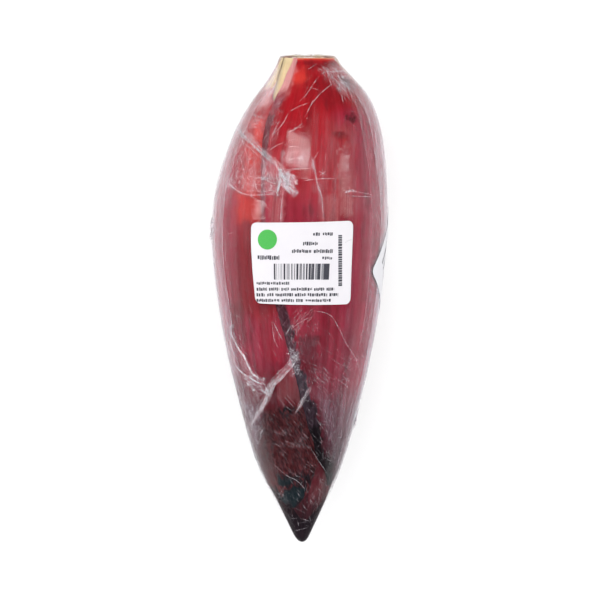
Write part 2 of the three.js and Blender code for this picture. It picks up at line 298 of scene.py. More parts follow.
def streak(px, py, points, width, soft=1.0):
    d, t = from_line(px, py, points)
    return (1 - smooth(0, width, d)) ** soft * (smooth(0, 0.12, t) * (1 - smooth(0.88, 1, t)) * 0.999 + 0.001)


def polygon(px, py, points, soft=3.0):
    """1 inside an outline, falling to 0 over its edge."""
    pts = np.asarray(points, float)
    loop = np.vstack([pts, pts[:1]])
    d, _ = from_line(px, py, loop)
    inside = np.zeros(px.shape, bool)
    for (x0, y0), (x1, y1) in zip(loop[:-1], loop[1:]):
        rise = y1 - y0 if y1 != y0 else 1e-9
        inside ^= ((y0 > py) != (y1 > py)) & (px < x0 + (py - y0) * (x1 - x0) / rise)
    return smooth(-soft, soft, np.where(inside, d, -d))


def away_from_top(theta):
    return np.abs((np.asarray(theta, float) + 180) % 360 - 180)


def side_of(px, py, line):
    """Signed distance in x from a line that runs down the picture: positive on its right."""
    pts = np.asarray(line, float)
    return px - np.interp(py, pts[:, 1], pts[:, 0])


# ------------------------------------------------------------------ meshes
def make_mesh(name, verts, faces, attributes=None, uv=None, smooth_shade=True):
    """verts in millimetres, faces a list of index arrays (n, 3) or (n, 4)."""
    me = bpy.data.meshes.new(name)
    verts = np.asarray(verts, np.float32) * MM
    me.vertices.add(len(verts))
    me.vertices.foreach_set("co", verts.ravel())
    faces = [np.asarray(f, np.int32) for f in faces if len(f)]
    loops = np.concatenate([f.ravel() for f in faces])
    sizes = np.concatenate([np.full(len(f), f.shape[1], np.int32) for f in faces])
    me.loops.add(len(loops))
    me.loops.foreach_set("vertex_index", loops)
    me.polygons.add(len(sizes))
    me.polygons.foreach_set("loop_start", np.concatenate([[0], np.cumsum(sizes)[:-1]]).astype(np.int32))
    me.update(calc_edges=True)
    me.polygons.foreach_set("use_smooth", np.full(len(sizes), smooth_shade))
    if uv is not None:
        layer = me.uv_layers.new(name="OFBake", do_init=False)
        layer.uv.foreach_set("vector", np.asarray(uv, np.float32)[loops].ravel())
    for key, value in (attributes or {}).items():
        value = np.asarray(value, np.float32)
        if value.ndim == 2:
            a = me.attributes.new(key, "FLOAT_VECTOR", "POINT")
            a.data.foreach_set("vector", value.ravel())
        else:
            a = me.attributes.new(key, "FLOAT", "POINT")
            a.data.foreach_set("value", value)
    o = bpy.data.objects.new(name, me)
    bpy.context.scene.collection.objects.link(o)
    return o


def grid_faces(rows, cols, first=0, closed=False):
    """Quads of a grid of vertices whose rows run along the bud and whose columns run round it."""
    n = cols if closed else cols - 1
    j, i = np.meshgrid(np.arange(rows - 1), np.arange(n), indexing="ij")
    k = (i + 1) % cols
    a = first + j * cols
    return np.stack([a + i, a + k, a + cols + k, a + cols + i], -1).reshape(-1, 4)


def stitch(fine, coarse):
    """Triangles between a border of 3n+1 vertices and one of n+1, fine on the left of the way."""
    t = []
    for i in range(len(coarse) - 1):
        c0, c1 = coarse[i], coarse[i + 1]
        f0, f1, f2, f3 = fine[3 * i:3 * i + 4]
        t += [(c0, f1, f0), (c0, f2, f1), (c0, c1, f2), (c1, f3, f2)]
    return np.array(t)


def plate(outer, inner):
    """Vertices and faces of a closed plate: a fine outer grid and an inner one with every third place."""
    R, C = outer.shape[:2]
    r, c = inner.shape[:2]
    verts = np.concatenate([outer.reshape(-1, 3), inner.reshape(-1, 3)])
    n = R * C
    back = grid_faces(r, c, n)[:, ::-1]
    o = np.arange(n).reshape(R, C)
    q = n + np.arange(r * c).reshape(r, c)
    faces = [grid_faces(R, C), back]
    tri = np.concatenate([
        stitch(o[0, :], q[0, :]), stitch(o[::-1, 0], q[::-1, 0]),
        stitch(o[-1, ::-1], q[-1, ::-1]), stitch(o[:, -1], q[:, -1])])
    faces.append(tri)
    return verts, faces


def finish_piece(o, material, slot, *nodes):
    o.data.materials.append(material)
    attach(o, "root")
    if nodes:
        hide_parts(*nodes)
    return o


# ------------------------------------------------------------------ node graphs
class Graph:
    def __init__(self, name):
        self.mat = bpy.data.materials.new(name)
        self.mat.use_nodes = True
        self.t = self.mat.node_tree
        self.t.nodes.clear()
        self.out = self.t.nodes.new("ShaderNodeOutputMaterial")

    def put(self, socket, value):
        if isinstance(value, bpy.types.NodeSocket):
            self.t.links.new(value, socket)
        elif value is not None:
            if hasattr(socket.default_value, "__len__") and not hasattr(value, "__len__"):
                value = (value,) * len(socket.default_value)
            if hasattr(value, "__len__") and len(socket.default_value) == 4 and len(value) == 3:
                value = (*value, 1)
            socket.default_value = value

    def node(self, kind, inputs=None, **props):
        n = self.t.nodes.new(kind)
        for k, v in props.items():
            setattr(n, k, v)
        for k, v in (inputs or {}).items():
            self.put(n.inputs[k], v)
        return n

    def math(self, op, a, b=None, clamp=False):
        n = self.node("ShaderNodeMath", operation=op, use_clamp=clamp)
        self.put(n.inputs[0], a)
        if b is not None:
            self.put(n.inputs[1], b)
        return n.outputs[0]

    def attr(self, name, vector=False):
        n = self.node("ShaderNodeAttribute", attribute_name=name)
        return n.outputs["Vector" if vector else "Fac"]

    def mapped(self, vector, scale, move=(0, 0, 0), turn=(0, 0, 0)):
        n = self.node("ShaderNodeMapping", {"Vector": vector, "Scale": scale, "Location": move, "Rotation": turn})
        return n.outputs[0]

    def noise(self, vector, scale=1.0, detail=2.0, rough=0.5, distortion=0.0):
        n = self.node("ShaderNodeTexNoise", {"Vector": vector, "Scale": scale, "Detail": detail,
                                             "Roughness": rough, "Distortion": distortion})
        return n.outputs["Fac"]

    def ramp(self, fac, stops, kind="LINEAR"):
        n = self.node("ShaderNodeValToRGB", {"Fac": fac})
        e = n.color_ramp.elements
        n.color_ramp.interpolation = kind
        while len(e) < len(stops):
            e.new(0.5)
        for slot, (at, colour) in zip(e, stops):
            slot.position = at
            colour = (colour,) * 3 if isinstance(colour, (int, float)) else colour
            slot.color = (*colour[:3], 1)
        return n.outputs["Color"]

    def span(self, value, a, b, lo=0.0, hi=1.0):
        """Smooth step of value from a to b, as lo to hi."""
        n = self.node("ShaderNodeMapRange", {"Value": value, "From Min": a, "From Max": b, "To Min": lo, "To Max": hi},
                      interpolation_type="SMOOTHSTEP", clamp=True)
        return n.outputs[0]

    def mix(self, fac, a, b, blend="MIX"):
        n = self.node("ShaderNodeMix", data_type="RGBA", blend_type=blend)
        self.put(n.inputs[0], fac)
        self.put(n.inputs[6], a)
        self.put(n.inputs[7], b)
        return n.outputs[2]

    def turned(self, vector, degrees):
        return self.node("ShaderNodeVectorRotate", {"Vector": vector, "Angle": degrees * RAD}, rotation_type="Y_AXIS").outputs[0]

    def bump(self, height, distance, strength=1.0, normal=None):
        n = self.node("ShaderNodeBump", {"Height": height, "Distance": distance, "Strength": strength})
        if normal is not None:
            self.put(n.inputs["Normal"], normal)
        return n.outputs[0]

    def surface(self, shader):
        self.t.links.new(shader, self.out.inputs["Surface"])
        return self.mat


def bract_material(name, stops, gloss=0.50, streaks=0.15):
    """Waxy bract skin: a colour along its length, veins, blotches, and the marks painted on the piece, painted
    highlight among them.
    """
    g = Graph(name)
    bud = g.attr("bud", True)
    s01 = g.attr("s01")
    wander = g.noise(g.mapped(bud, (0.09, 0.09, 0.03)), detail=2.0)
    along = g.math("ADD", s01, g.math("MULTIPLY", g.math("SUBTRACT", wander, 0.5), 0.07))
    colour = g.ramp(along, stops)
    # veins: fine and broad, running with the bud
    fine = g.noise(g.mapped(bud, (1.5, 1.5, 0.028)), detail=4.0, rough=0.6)
    broad = g.noise(g.mapped(bud, (0.30, 0.30, 0.012), move=(7, 3, 1)), detail=3.0, rough=0.55)
    both = g.math("ADD", g.math("MULTIPLY", fine, 0.28), g.math("MULTIPLY", broad, 0.72))
    shade = g.span(both, 0.34, 0.66, 1 - streaks, 1 + streaks)
    colour = g.mix(1.0, colour, shade, "MULTIPLY")
    # blotches of deeper maroon, and paler lines where the wax is rubbed
    blotch = g.noise(g.mapped(bud, (0.12, 0.12, 0.035), move=(3, 11, 5)), detail=4.0, rough=0.62, distortion=0.4)
    deep = g.mix(1.0, colour, (0.50, 0.42, 0.60), "MULTIPLY")
    colour = g.mix(g.span(blotch, 0.54, 0.74, 0.0, 0.55), colour, deep)
    thread = g.noise(g.mapped(bud, (3.4, 3.4, 0.02), move=(2, 8, 4)), detail=2.0, rough=0.5)
    colour = g.mix(g.span(thread, 0.58, 0.72, 0.0, 0.06), colour, (0.75, 0.20, 0.24))
    speck = g.noise(g.mapped(bud, (1.9, 1.9, 0.9), move=(1, 2, 9)), detail=3.0, rough=0.7)
    mottle = g.noise(g.mapped(bud, (0.62, 0.62, 0.30), move=(5, 2, 1)), detail=5.0, rough=0.62, distortion=0.5)
    slant = g.noise(g.mapped(g.turned(bud, 47), (3.4, 0.9, 0.17)), detail=3.0, rough=0.6, distortion=0.15)
    hatch = g.math("MAXIMUM", slant,
                   g.noise(g.mapped(g.turned(bud, -38), (2.5, 0.8, 0.24), move=(3, 3, 3)), detail=3.0, rough=0.55))
    grit = g.math("ADD", g.math("MULTIPLY", hatch, 0.5), g.math("MULTIPLY", mottle, 0.5))
    rough_mask = g.math("ADD", g.math("MULTIPLY", g.math("SUBTRACT", speck, 0.5), 0.8), g.math("ADD", g.math(
        "MULTIPLY", g.math("SUBTRACT", fine, 0.5), 0.7), g.math("MULTIPLY", g.math("SUBTRACT", hatch, 0.55), 0.9)))

    def painted(attribute, target, a=0.25, b=0.75, how=0.6):
        nonlocal colour
        m = g.math("ADD", g.attr(attribute), g.math("MULTIPLY", rough_mask, g.math(
            "MULTIPLY", g.attr(attribute), how)))
        colour = g.mix(g.span(m, a, b), colour, target)

    painted("plum", g.ramp(broad, [(0.35, (0.34, 0.010, 0.043)), (0.65, (0.51, 0.028, 0.082))]), 0.0, 1.0)
    # bright red: partly the skin's own red, partly painted highlight under the rim and where the softbox is mirrored
    painted("hot", (0.74, 0.055, 0.040), 0.0, 1.0)
    painted("maroon", (0.130, 0.005, 0.013), 0.0, 1.0, 1.0)
    painted("pale", g.ramp(fine, [(0.3, (0.74, 0.56, 0.29)), (0.6, (0.80, 0.67, 0.41))]), 0.05, 0.80)
    painted("pink", g.ramp(fine, [(0.3, (0.62, 0.26, 0.27)), (0.7, (0.82, 0.46, 0.45))]), 0.02, 0.95, 0.8)
    painted("mauve", g.ramp(grit, [(0.42, (0.20, 0.020, 0.034)), (0.54, (0.34, 0.070, 0.095)), (0.66, (0.48, 0.17, 0.20))]), 0.05, 0.9)
    painted("dusty", g.ramp(grit, [(0.42, (0.060, 0.012, 0.022)), (0.54, (0.12, 0.034, 0.052)), (0.66, (0.24, 0.10, 0.135))]), 0.05, 0.9)
    painted("brown", g.ramp(g.math("ADD", g.math("MULTIPLY", slant, 0.74), g.math("MULTIPLY", mottle, 0.26)), [
        (0.40, (0.018, 0.004, 0.005)), (0.51, (0.084, 0.010, 0.014)), (0.63, (0.22, 0.048, 0.050))]), 0.05, 0.9, 0.4)
    painted("dark", g.ramp(mottle, [(0.35, (0.005, 0.004, 0.006)), (0.7, (0.020, 0.011, 0.016))]), 0.08, 0.9, 1.2)
    painted("slate", g.ramp(grit, [(0.42, (0.024, 0.012, 0.018)), (0.54, (0.060, 0.034, 0.050)), (0.66, (0.14, 0.090, 0.125))]), 0.08, 0.9, 1.2)
    painted("bruise", g.ramp(mottle, [(0.35, (0.003, 0.008, 0.011)), (0.7, (0.014, 0.026, 0.032))]), 0.10, 0.80, 1.3)
    height = g.math("ADD", g.math("MULTIPLY", fine, 0.7), g.math("MULTIPLY", speck, 0.3))
    normal = g.bump(height, 0.00018, 0.6)
    rough = g.span(fine, 0.3, 0.7, gloss - 0.06, gloss + 0.10)
    p = g.node("ShaderNodeBsdfPrincipled", {"Base Color": colour, "Roughness": rough,
                                            "Specular IOR Level": 0.10, "Normal": normal})
    return g.surface(p.outputs[0])


# ------------------------------------------------------------------ bracts
def bract_thickness(s):
    neck, tip = smooth(150, 215, s), 1 - smooth(15, 75, s)
    return 1.25 + (0.5 - 1.25) * neck + (0.6 - 1.25) * tip


EDGES = {n: (float(t[0, 0]), curve(t, 1), curve(t, 2)) for n, t in BRACTS.items()}


def cover(name, theta, s):
    tip, left, right = EDGES[name]
    at = np.maximum(s, tip)
    mid, half = (left(at) + right(at)) / 2, (right(at) - left(at)) / 2
    off = np.abs((theta - mid) % 360.0)
    off = np.minimum(off, 360 - off) - half
    off = off * RAD * np.maximum(half_width(s), 6)
    snug = np.maximum(smooth(185, 215, s), 1 - smooth(20, 50, s))
    return (1 - smooth(2.4 - 1.7 * snug, 10 - 5.6 * snug, off)) * (1 - smooth(0.8, 4.5, tip - s))


def layer_depth(k, theta, s):
    d = SKIN + np.zeros(np.broadcast(theta, s).shape)
    for j in range(k):
        d = d + (bract_thickness(s) + GAP) * cover(ORDER[j], theta, s)
    return d


VEINS = Noise(11)
WAVE = Noise(12)


def veins(theta, s):
    """Relief of a bract's outside: long low ribs and a slow swell."""
    v = bud_vector(theta, s)
    ribs = VEINS(v[..., 0] / 1.3, v[..., 1] / 1.3, v[..., 2] / 45)
    broad = VEINS(v[..., 0] / 4.5 + 9, v[..., 1] / 4.5, v[..., 2] / 60)
    swell = WAVE(v[..., 0] / 14, v[..., 1] / 14, v[..., 2] / 30)
    return 0.055 * ribs + 0.10 * broad + 0.12 * swell


def bract(name, cols, rows, paint):
    k = ORDER.index(name)
    tip, left, right = EDGES[name]
    end = BUD_LENGTH - 0.85
    j = np.linspace(0, 1, rows)
    s = tip + (end - tip) * (j ** 1.12)
    u = np.linspace(-1, 1, cols)
    x = np.sign(u) * (1 - (1 - np.abs(u)) ** 1.3)
    S, X = np.meshgrid(s, x, indexing="ij")
    r = np.maximum(half_width(S), 5)
    wav = 0.55 * WAVE(S / 9, np.full_like(S, 3.7 + 5 * k), np.sign(X) * 4.1) + 0.25 * WAVE(
        S / 2.6, np.full_like(S, 8.7 + 5 * k), np.sign(X) * 4.1)
    a, b = left(S), right(S)
    fade = smooth(0, 10, S - tip)
    theta = (a + b) / 2 + X * (b - a) / 2 + fade * np.abs(X) ** 6 * wav / r / RAD
    depth = layer_depth(k, theta, S)
    from_edge = (1 - np.abs(X)) * (b - a) / 2 * RAD * r
    near = np.minimum(from_edge, 3.0 + S - tip)
    lip = 0.22 * np.exp(-(near / 2.2) ** 2) - 0.3 * (1 - smooth(0, 0.5, near))
    ribs = veins(theta, S) * (1 - 0.5 * smooth(205, 222, S))
    thin = 0.45 + 0.55 * (1 - np.abs(X) ** 4)
    wall = bract_thickness(S) * thin * (0.55 + 0.45 * smooth(0, 9, S - tip))
    out = np.where((S > 229.0)[..., None], on_cut(theta, 1.0, depth - lip - ribs, BUD_LENGTH - S),
                   place(theta, S, depth - lip - ribs))
    t3, s3, d3, w3 = theta[::3, ::3], S[::3, ::3], depth[::3, ::3], wall[::3, ::3]
    inn = np.where((s3 > 229.0)[..., None], on_cut(t3, 1.0, d3 + w3, BUD_LENGTH - s3),
                   place(t3, s3, d3 + w3))
    verts, faces = plate(out, inn)
    T = np.concatenate([theta.ravel(), t3.ravel()])
    SS = np.concatenate([S.ravel(), s3.ravel()])
    px, py = seen(verts)
    front = np.abs((T + 180) % 360 - 180) < 91
    E = np.concatenate([from_edge.ravel(), from_edge[::3, ::3].ravel()])
    m = paint(T, SS, px, py, front, E)
    uu = np.concatenate([(0.005 + 0.99 * (np.arange(cols) / (cols - 1)))[None, :].repeat(rows, 0).ravel(),
                         (0.005 + 0.99 * (np.arange(len(inn[0])) / (len(inn[0]) - 1)))[None, :].repeat(len(inn), 0).ravel()])
    vv = np.concatenate([(0.005 + 0.86 * j)[:, None].repeat(cols, 1).ravel(),
                         (0.885 + 0.11 * (np.arange(len(inn)) / (len(inn) - 1)))[:, None].repeat(len(inn[0]), 1).ravel()])
    attributes = dict(m)
    attributes["bud"] = bud_vector(T, SS)
    attributes["s01"] = SS / BUD_LENGTH
    return make_mesh("petal_" + name, verts, faces, attributes, np.stack([uu, vv], -1))


PAINT = Noise(21)
KINDS = ("plum", "hot", "pale", "pink", "mauve", "dusty", "maroon", "brown", "dark", "slate", "bruise")


def empty_marks(T):
    return {k: np.zeros(len(T)) for k in KINDS}


# the dark strip along the free edge of the outer bract: its inner side in the picture
MARGIN_IN = [(297, 60), (294.5, 70), (290.5, 82), (287.6, 89.5), (284, 99), (277, 110), (271, 126), (269, 139),
             (266.5, 154), (265, 170), (265, 205), (267, 240), (275, 270), (281, 292), (286.5, 308), (291, 328),
             (295, 345), (299, 358), (303, 370), (308, 383), (310, 395), (316, 409), (320, 426), (321.7, 437),
             (322.3, 451), (325, 465), (332, 476), (338, 486)]


def wander(px, py):
    """Places moved a little, so that painted outlines wander."""
    return (px + 2.6 * PAINT.fbm(px / 9, py / 9, 6.0) + 0.9 * PAINT(px / 2.2, py / 2.8, 1.0),
            py + 3.4 * PAINT.fbm(px / 9, py / 9, 9.0) + 1.1 * PAINT(px / 2.2, py / 2.8, 4.0))


def paint_front_right(T, S, px, py, front, E):
    m = empty_marks(T)
    f = front.astype(float)
    n = PAINT.fbm(T / 9, S / 14, 0.0)
    fine = PAINT.fbm(px / 3.2, py / 7.0, 2.0)
    inner = -side_of(px, py, MARGIN_IN)                     # positive within the strip
    px, py = wander(px, py)
    low = smooth(296, 320, py)
    strip = f * smooth(-1.6 - 2.2 * low, 1.4 + 1.4 * low, inner + (1.3 + 1.6 * low) * n + 2.6 * fine * low)
    upper = 1 - smooth(84, 100, py)
    m["pink"] = np.maximum(m["pink"], 0.95 * strip * upper)
    # painted highlight: a pale pink glare streak running down from the rim
    m["pink"] = np.maximum(m["pink"], 0.40 * f * streak(px, py, [(297, 62), (291, 78), (284, 96), (276, 108)], 7))
    m["mauve"] = strip * (1 - 0.6 * smooth(104, 116, py) * (1 - smooth(144, 160, py))) * smooth(86, 104, py) * (1 - smooth(240, 300, py)) * (0.88 + 0.3 * fine)
    m["dark"] = np.maximum(m["dark"], 0.24 * strip * smooth(108, 120, py) * (1 - smooth(142, 158, py)))
    m["maroon"] = np.maximum(m["maroon"], 0.85 * strip * smooth(106, 120, py) * (1 - smooth(150, 166, py)))
    m["dusty"] = np.maximum(m["dusty"], strip * smooth(230, 300, py) * (1 - smooth(372, 392, py)) * (0.92 + 0.3 * fine))
    m["slate"] = np.maximum(m["slate"], strip * smooth(350, 384, py) * (1 - smooth(420, 436, py)) * (0.95 + 0.3 * fine))
    m["dark"] = np.maximum(m["dark"], strip * smooth(406, 430, py))
    m["dark"] = np.maximum(m["dark"], 0.9 * f * smooth(-2.5, 1.0, inner + 4 * fine) * smooth(400, 430, py))
    m["plum"] = f * np.maximum(0.85 * smooth(318, 350, px) * smooth(92, 125, py), 0.55 * smooth(170, 215, py)) * (1 - 0.65 * smooth(366, 410, py))
    m["plum"] *= 1 - 0.75 * polygon(px, py, [(320, 124), (354, 124), (358, 222), (324, 222)], 9)
    # speckled skin beside the strip at the shoulder
    m["maroon"] = np.maximum(m["maroon"], 0.22 * f * polygon(px, py, [(278, 104), (286, 100), (284, 130), (276, 158), (268, 150), (270, 126)], 4))
    # painted highlight in bright red under the rim of the cut
    m["hot"] = np.maximum(m["hot"], f * 0.78 * blob(px, py, 298.5, 77, 15, 18, 12) ** 0.8)
    m["hot"] = np.maximum(m["hot"], f * 0.30 * blob(px, py, 309, 78, 7, 12, 8))
    # painted highlight where the softbox is mirrored in the middle, brightest at its foot
    m["hot"] = np.maximum(m["hot"], f * 0.14 * blob(px, py, 298, 152, 15, 26))
    m["hot"] = np.maximum(m["hot"], f * 0.30 * polygon(px, py, [(284, 150), (311, 149), (311, 168), (284, 168)], 3))
    # brighter red patches to its right
    m["hot"] = np.maximum(m["hot"], f * 0.12 * polygon(px, py, [(328, 150), (352, 150), (354, 206), (330, 206)], 7))
    m["hot"] = np.maximum(m["hot"], f * 0.36 * streak(px, py, [(344, 134), (347.5, 148)], 5.0))
    m["maroon"] = np.maximum(m["maroon"], f * 0.50 * polygon(px, py, [(303, 60), (336, 61), (337, 67), (326, 71), (312, 70), (305, 66)], 3.5))
    m["maroon"] = np.maximum(m["maroon"], f * 0.75 * blob(px, py, 296.5, 62.5, 4, 4))
    m["maroon"] = np.maximum(m["maroon"], f * 0.36 * polygon(px, py, [(312, 76), (336, 72), (345, 90), (346, 106), (320, 110)], 7))
    m["maroon"] = np.maximum(m["maroon"], f * 0.30 * polygon(px, py, [(338, 328), (357, 330), (356, 372), (346, 404), (335, 404)], 7))
    m["maroon"] = np.maximum(m["maroon"], f * 0.86 * np.clip(blob(px, py, 352, 118.5, 8.5, 5.5, 14) ** 0.45 * (1 + 0.9 * fine), 0, 1))
    m["maroon"] = np.maximum(m["maroon"], f * 0.62 * blob(px, py, 340, 134.5, 10, 5.0, 8) ** 0.45)
    m["maroon"] = np.maximum(m["maroon"], f * 0.14 * polygon(px, py, [(347, 92), (358, 112), (366, 150), (371, 205), (362, 205), (356, 150), (349, 120)], 4))
    for c in [(311, 209, 4.5, 18, 0, 0.60), (292, 206, 9, 18, 0, 0.25), (339.5, 180, 4, 10, 0, 0.45), (331, 214, 3, 14, 0, 0.30),
              (305, 213, 7, 14, 0, 0.42), (358, 168, 3.5, 22, 0, 0.30), (366.5, 196, 4, 28, -4, 0.50), (347, 370, 5, 36, 4, 0.55), (321, 148, 4, 22, 0, 0.32), (346, 216, 3, 12, 0, 0.25)]:
        m["maroon"] = np.maximum(m["maroon"], f * c[5] * blob(px, py, *c[:5]))
    m["maroon"] = np.maximum(m["maroon"], f * 0.62 * polygon(px, py, [(298, 337), (308, 333), (319, 337), (319, 366), (314, 389), (306, 380), (299, 360)], 4))
    m["maroon"] = np.maximum(m["maroon"], f * 0.15 * polygon(px, py, [(323, 334), (329, 340), (331, 372), (327, 396), (323, 370)], 4))
    m["maroon"] = np.maximum(m["maroon"], f * 0.30 * polygon(px, py, [(352, 322), (358, 326), (358, 356), (353, 372), (350, 345)], 5))
    m["pink"] = np.maximum(m["pink"], f * 0.16 * polygon(px, py, [(326, 120), (360, 122), (368, 214), (328, 214)], 8))
    m["pink"] = np.maximum(m["pink"], f * 0.46 * polygon(px, py, [(336, 176), (351, 176), (354, 216), (339, 216)], 6))
    m["pink"] = np.maximum(m["pink"], f * 0.14 * polygon(px, py, [(268, 140), (286, 132), (286, 222), (266, 222)], 5))
    m["pink"] = np.maximum(m["pink"], f * 0.10 * polygon(px, py, [(306, 134), (318, 134), (334, 176), (344, 222), (310, 222)], 6))
    m["pink"] = np.maximum(m["pink"], f * 0.34 * polygon(px, py, [(319, 196), (340, 194), (340, 226), (320, 226)], 5))
    m["pink"] = np.maximum(m["pink"], f * 0.34 * polygon(px, py, [(269, 196), (285, 196), (285, 226), (269, 226)], 3))
    m["maroon"] = np.maximum(m["maroon"], f * 0.36 * polygon(px, py, [(360.5, 214), (366, 214), (367, 302), (361.5, 302)], 3))
    # towards the tip the bract darkens and turns mauve
    m["dusty"] = np.maximum(m["dusty"], f * 0.30 * polygon(px, py, [(322, 398), (346, 388), (340, 440), (330, 470), (323, 452)], 7))
    m["dark"] = np.maximum(m["dark"], (1 - smooth(30, 56, S + 9 * n)) * (0.55 * f + 0.85 * (1 - f)))
    m["dark"] = np.maximum(m["dark"], f * 0.90 * blob(px, py, 326, 466, 13, 16) ** 0.6)
    # the cut rim, and the dry skin round the back
    m["pale"] = np.maximum(m["pale"], 0.55 * smooth(229.2, 230.0, S))
    m["hot"] = np.maximum(m["hot"], smooth(228.8, 229.6, S))
    side = 1 - f
    m["pale"] = np.maximum(m["pale"], side * 0.45 * smooth(214, 229, S + 5 * n))
    m["dusty"] = np.maximum(m["dusty"], side * 0.85 * (1 - smooth(1.4, 3.6, E + 1.4 * n)))
    m["maroon"] = np.maximum(m["maroon"], side * 0.55 * smooth(0.15, 0.7, n))
    return {k: np.clip(v, 0, 1) for k, v in m.items()}


def paint_front_left(T, S, px, py, front, E):
    m = empty_marks(T)
    f = front.astype(float)
    n = PAINT.fbm(T / 8, S / 10, 4.0)
    fine = PAINT.fbm(px / 2.6, py / 5.0, 5.0)
    px, py = wander(px, py)
    m["plum"] = f * 0.7 * np.maximum(1 - smooth(228, 248, px), smooth(300, 330, py)) * (1 - 0.9 * smooth(350, 392, py))
    m["hot"] = np.maximum(m["hot"], f * 0.80 * polygon(px, py, [(252, 122), (264, 120), (262, 142), (254, 144)], 5))
    m["hot"] = np.maximum(m["hot"], f * 0.55 * polygon(px, py, [(246, 142), (261, 142), (261, 168), (246, 172)], 4))
    m["hot"] = np.maximum(m["hot"], f * 0.60 * polygon(px, py, [(241, 172), (260, 168), (260, 202), (242, 198)], 6))
    m["hot"] = np.maximum(m["hot"], f * 0.58 * polygon(px, py, [(236, 190), (260, 198), (260, 222), (236, 222)], 7))
    m["hot"] = np.maximum(m["hot"], f * 0.22 * polygon(px, py, [(252, 312), (272, 308), (287, 340), (284, 366), (264, 362)], 7))
    m["pale"] = np.maximum(m["pale"], f * polygon(px, py, [(274, 50), (286, 50), (282, 70), (275, 86), (264, 90)], 3))
    m["pink"] = np.maximum(m["pink"], f * 0.75 * polygon(px, py, [(262, 88), (277, 88), (269, 104), (256, 110)], 5))
    m["pink"] = np.maximum(m["pink"], f * 0.22 * polygon(px, py, [(276, 380), (290, 368), (297, 372), (306, 400), (298, 404), (276, 400)], 5))
    m["maroon"] = np.maximum(m["maroon"], f * 0.12 * polygon(px, py, [(262, 386), (286, 380), (300, 396), (284, 410), (266, 410)], 6))
    m["maroon"] = np.maximum(m["maroon"], f * 0.35 * blob(px, py, 251, 330, 5, 34, 8))
    m["maroon"] = np.maximum(m["maroon"], f * 0.42 * polygon(px, py, [(226, 300), (242, 304), (250, 340), (238, 352), (230, 340)], 6))
    m["dusty"] = np.maximum(m["dusty"], f * 0.48 * polygon(px, py, [(238, 404), (258, 402), (264, 440), (280, 486), (268, 486)], 6))
    # dark speckled peak, the red-brown end and its bruises
    end = polygon(px, py, [(273, 411), (292, 406), (304, 409), (316, 440), (330, 470), (300, 512), (270, 486), (256, 440), (262, 414)], 6)
    m["brown"] = np.maximum(m["brown"], f * np.clip(end * (1.0 + 0.35 * fine), 0, 1))
    m["brown"] = np.maximum(m["brown"], (1 - f) * (1 - smooth(44, 66, S + 6 * n)) * 0.95)
    m["maroon"] = np.maximum(m["maroon"], f * 0.45 * polygon(px, py, [(300, 420), (309, 428), (316, 456), (308, 462), (300, 446)], 5))
    m["pink"] = np.maximum(m["pink"], f * 0.17 * polygon(px, py, [(262, 412), (280, 416), (302, 414), (304, 440), (278, 450), (264, 442)], 7))
    m["dark"] = np.maximum(m["dark"], f * 0.78 * polygon(px, py, [(278, 411), (284, 405), (294, 406), (296, 411), (290, 415), (281, 416)], 3) * np.clip(0.8 + 1.4 * fine, 0, 1.2))
    m["dark"] = np.maximum(m["dark"], f * 0.78 * polygon(px, py, [(276, 474), (298, 472), (318, 470), (314, 492), (286, 488)], 10) * np.clip(1.0 + fine, 0, 1.3))
    m["dark"] = np.maximum(m["dark"], (1 - smooth(20, 31, S + 6 * n)) * 0.9)
    m["bruise"] = np.maximum(m["bruise"], f * polygon(px, py, [(286, 490), (294, 486), (306, 488), (303, 499), (292, 505), (284, 502), (280, 498)], 3))
    m["bruise"] = np.maximum(m["bruise"], f * 0.95 * polygon(px, py, [(277, 477), (286, 476), (292, 482), (287, 487), (279, 485)], 2.5))
    side = 1 - f
    m["pale"] = np.maximum(m["pale"], side * 0.40 * smooth(214, 229, S + 5 * n))
    m["pale"] = np.maximum(m["pale"], 0.6 * smooth(229.2, 230.0, S))
    m["dusty"] = np.maximum(m["dusty"], side * 0.85 * (1 - smooth(1.4, 3.6, E + 1.4 * n)))
    m["maroon"] = np.maximum(m["maroon"], side * 0.5 * smooth(0.15, 0.7, n))
    return {k: np.clip(v, 0, 1) for k, v in m.items()}


def paint_inner_front(T, S, px, py, front, E):
    m = empty_marks(T)
    n = PAINT.fbm(T / 9, S / 12, 8.0)
    m["pale"] = smooth(196, 210, S)
    m["dark"] = (1 - smooth(14, 34, S + 7 * n)) * 0.55
    m["pink"] = 0.12 * front * polygon(px, py, [(309, 484), (324, 482), (318, 498), (310, 502)], 4)
    return m


def paint_underside(T, S, px, py, front, E):
    m = empty_marks(T)
    n = PAINT.fbm(T / 11, S / 16, 12.0)
    m["dark"] = (1 - smooth(38, 66, S + 9 * n)) * 0.85
    m["maroon"] = 0.6 * smooth(0.1, 0.7, n)
    m["pale"] = smooth(212, 230, S + 4 * n) * 0.5
    m["dusty"] = (1 - smooth(1.5, 3.5, E + n)) * 0.7
    return m


MAT = {}
MAT["right"] = bract_material("bract_skin_right", [
    (0.0, (0.016, 0.008, 0.011)), (0.20, (0.050, 0.009, 0.018)), (0.27, (0.120, 0.014, 0.028)),
    (0.35, (0.27, 0.018, 0.034)), (0.45, (0.38, 0.018, 0.032)), (0.62, (0.45, 0.022, 0.038)),
    (0.72, (0.50, 0.020, 0.038)), (0.80, (0.48, 0.010, 0.025)), (0.88, (0.43, 0.006, 0.015)), (1.0, (0.42, 0.005, 0.012))])
MAT["left"] = bract_material("bract_skin_left", [
    (0.08, (0.028, 0.009, 0.011)), (0.16, (0.062, 0.009, 0.011)), (0.22, (0.105, 0.013, 0.017)), (0.28, (0.140, 0.016, 0.024)),
    (0.36, (0.26, 0.018, 0.032)), (0.46, (0.33, 0.020, 0.032)), (0.62, (0.33, 0.018, 0.028)),
    (0.74, (0.42, 0.028, 0.036)), (0.82, (0.50, 0.036, 0.042)), (0.92, (0.42, 0.03, 0.040)), (1.0, (0.45, 0.06, 0.05))])
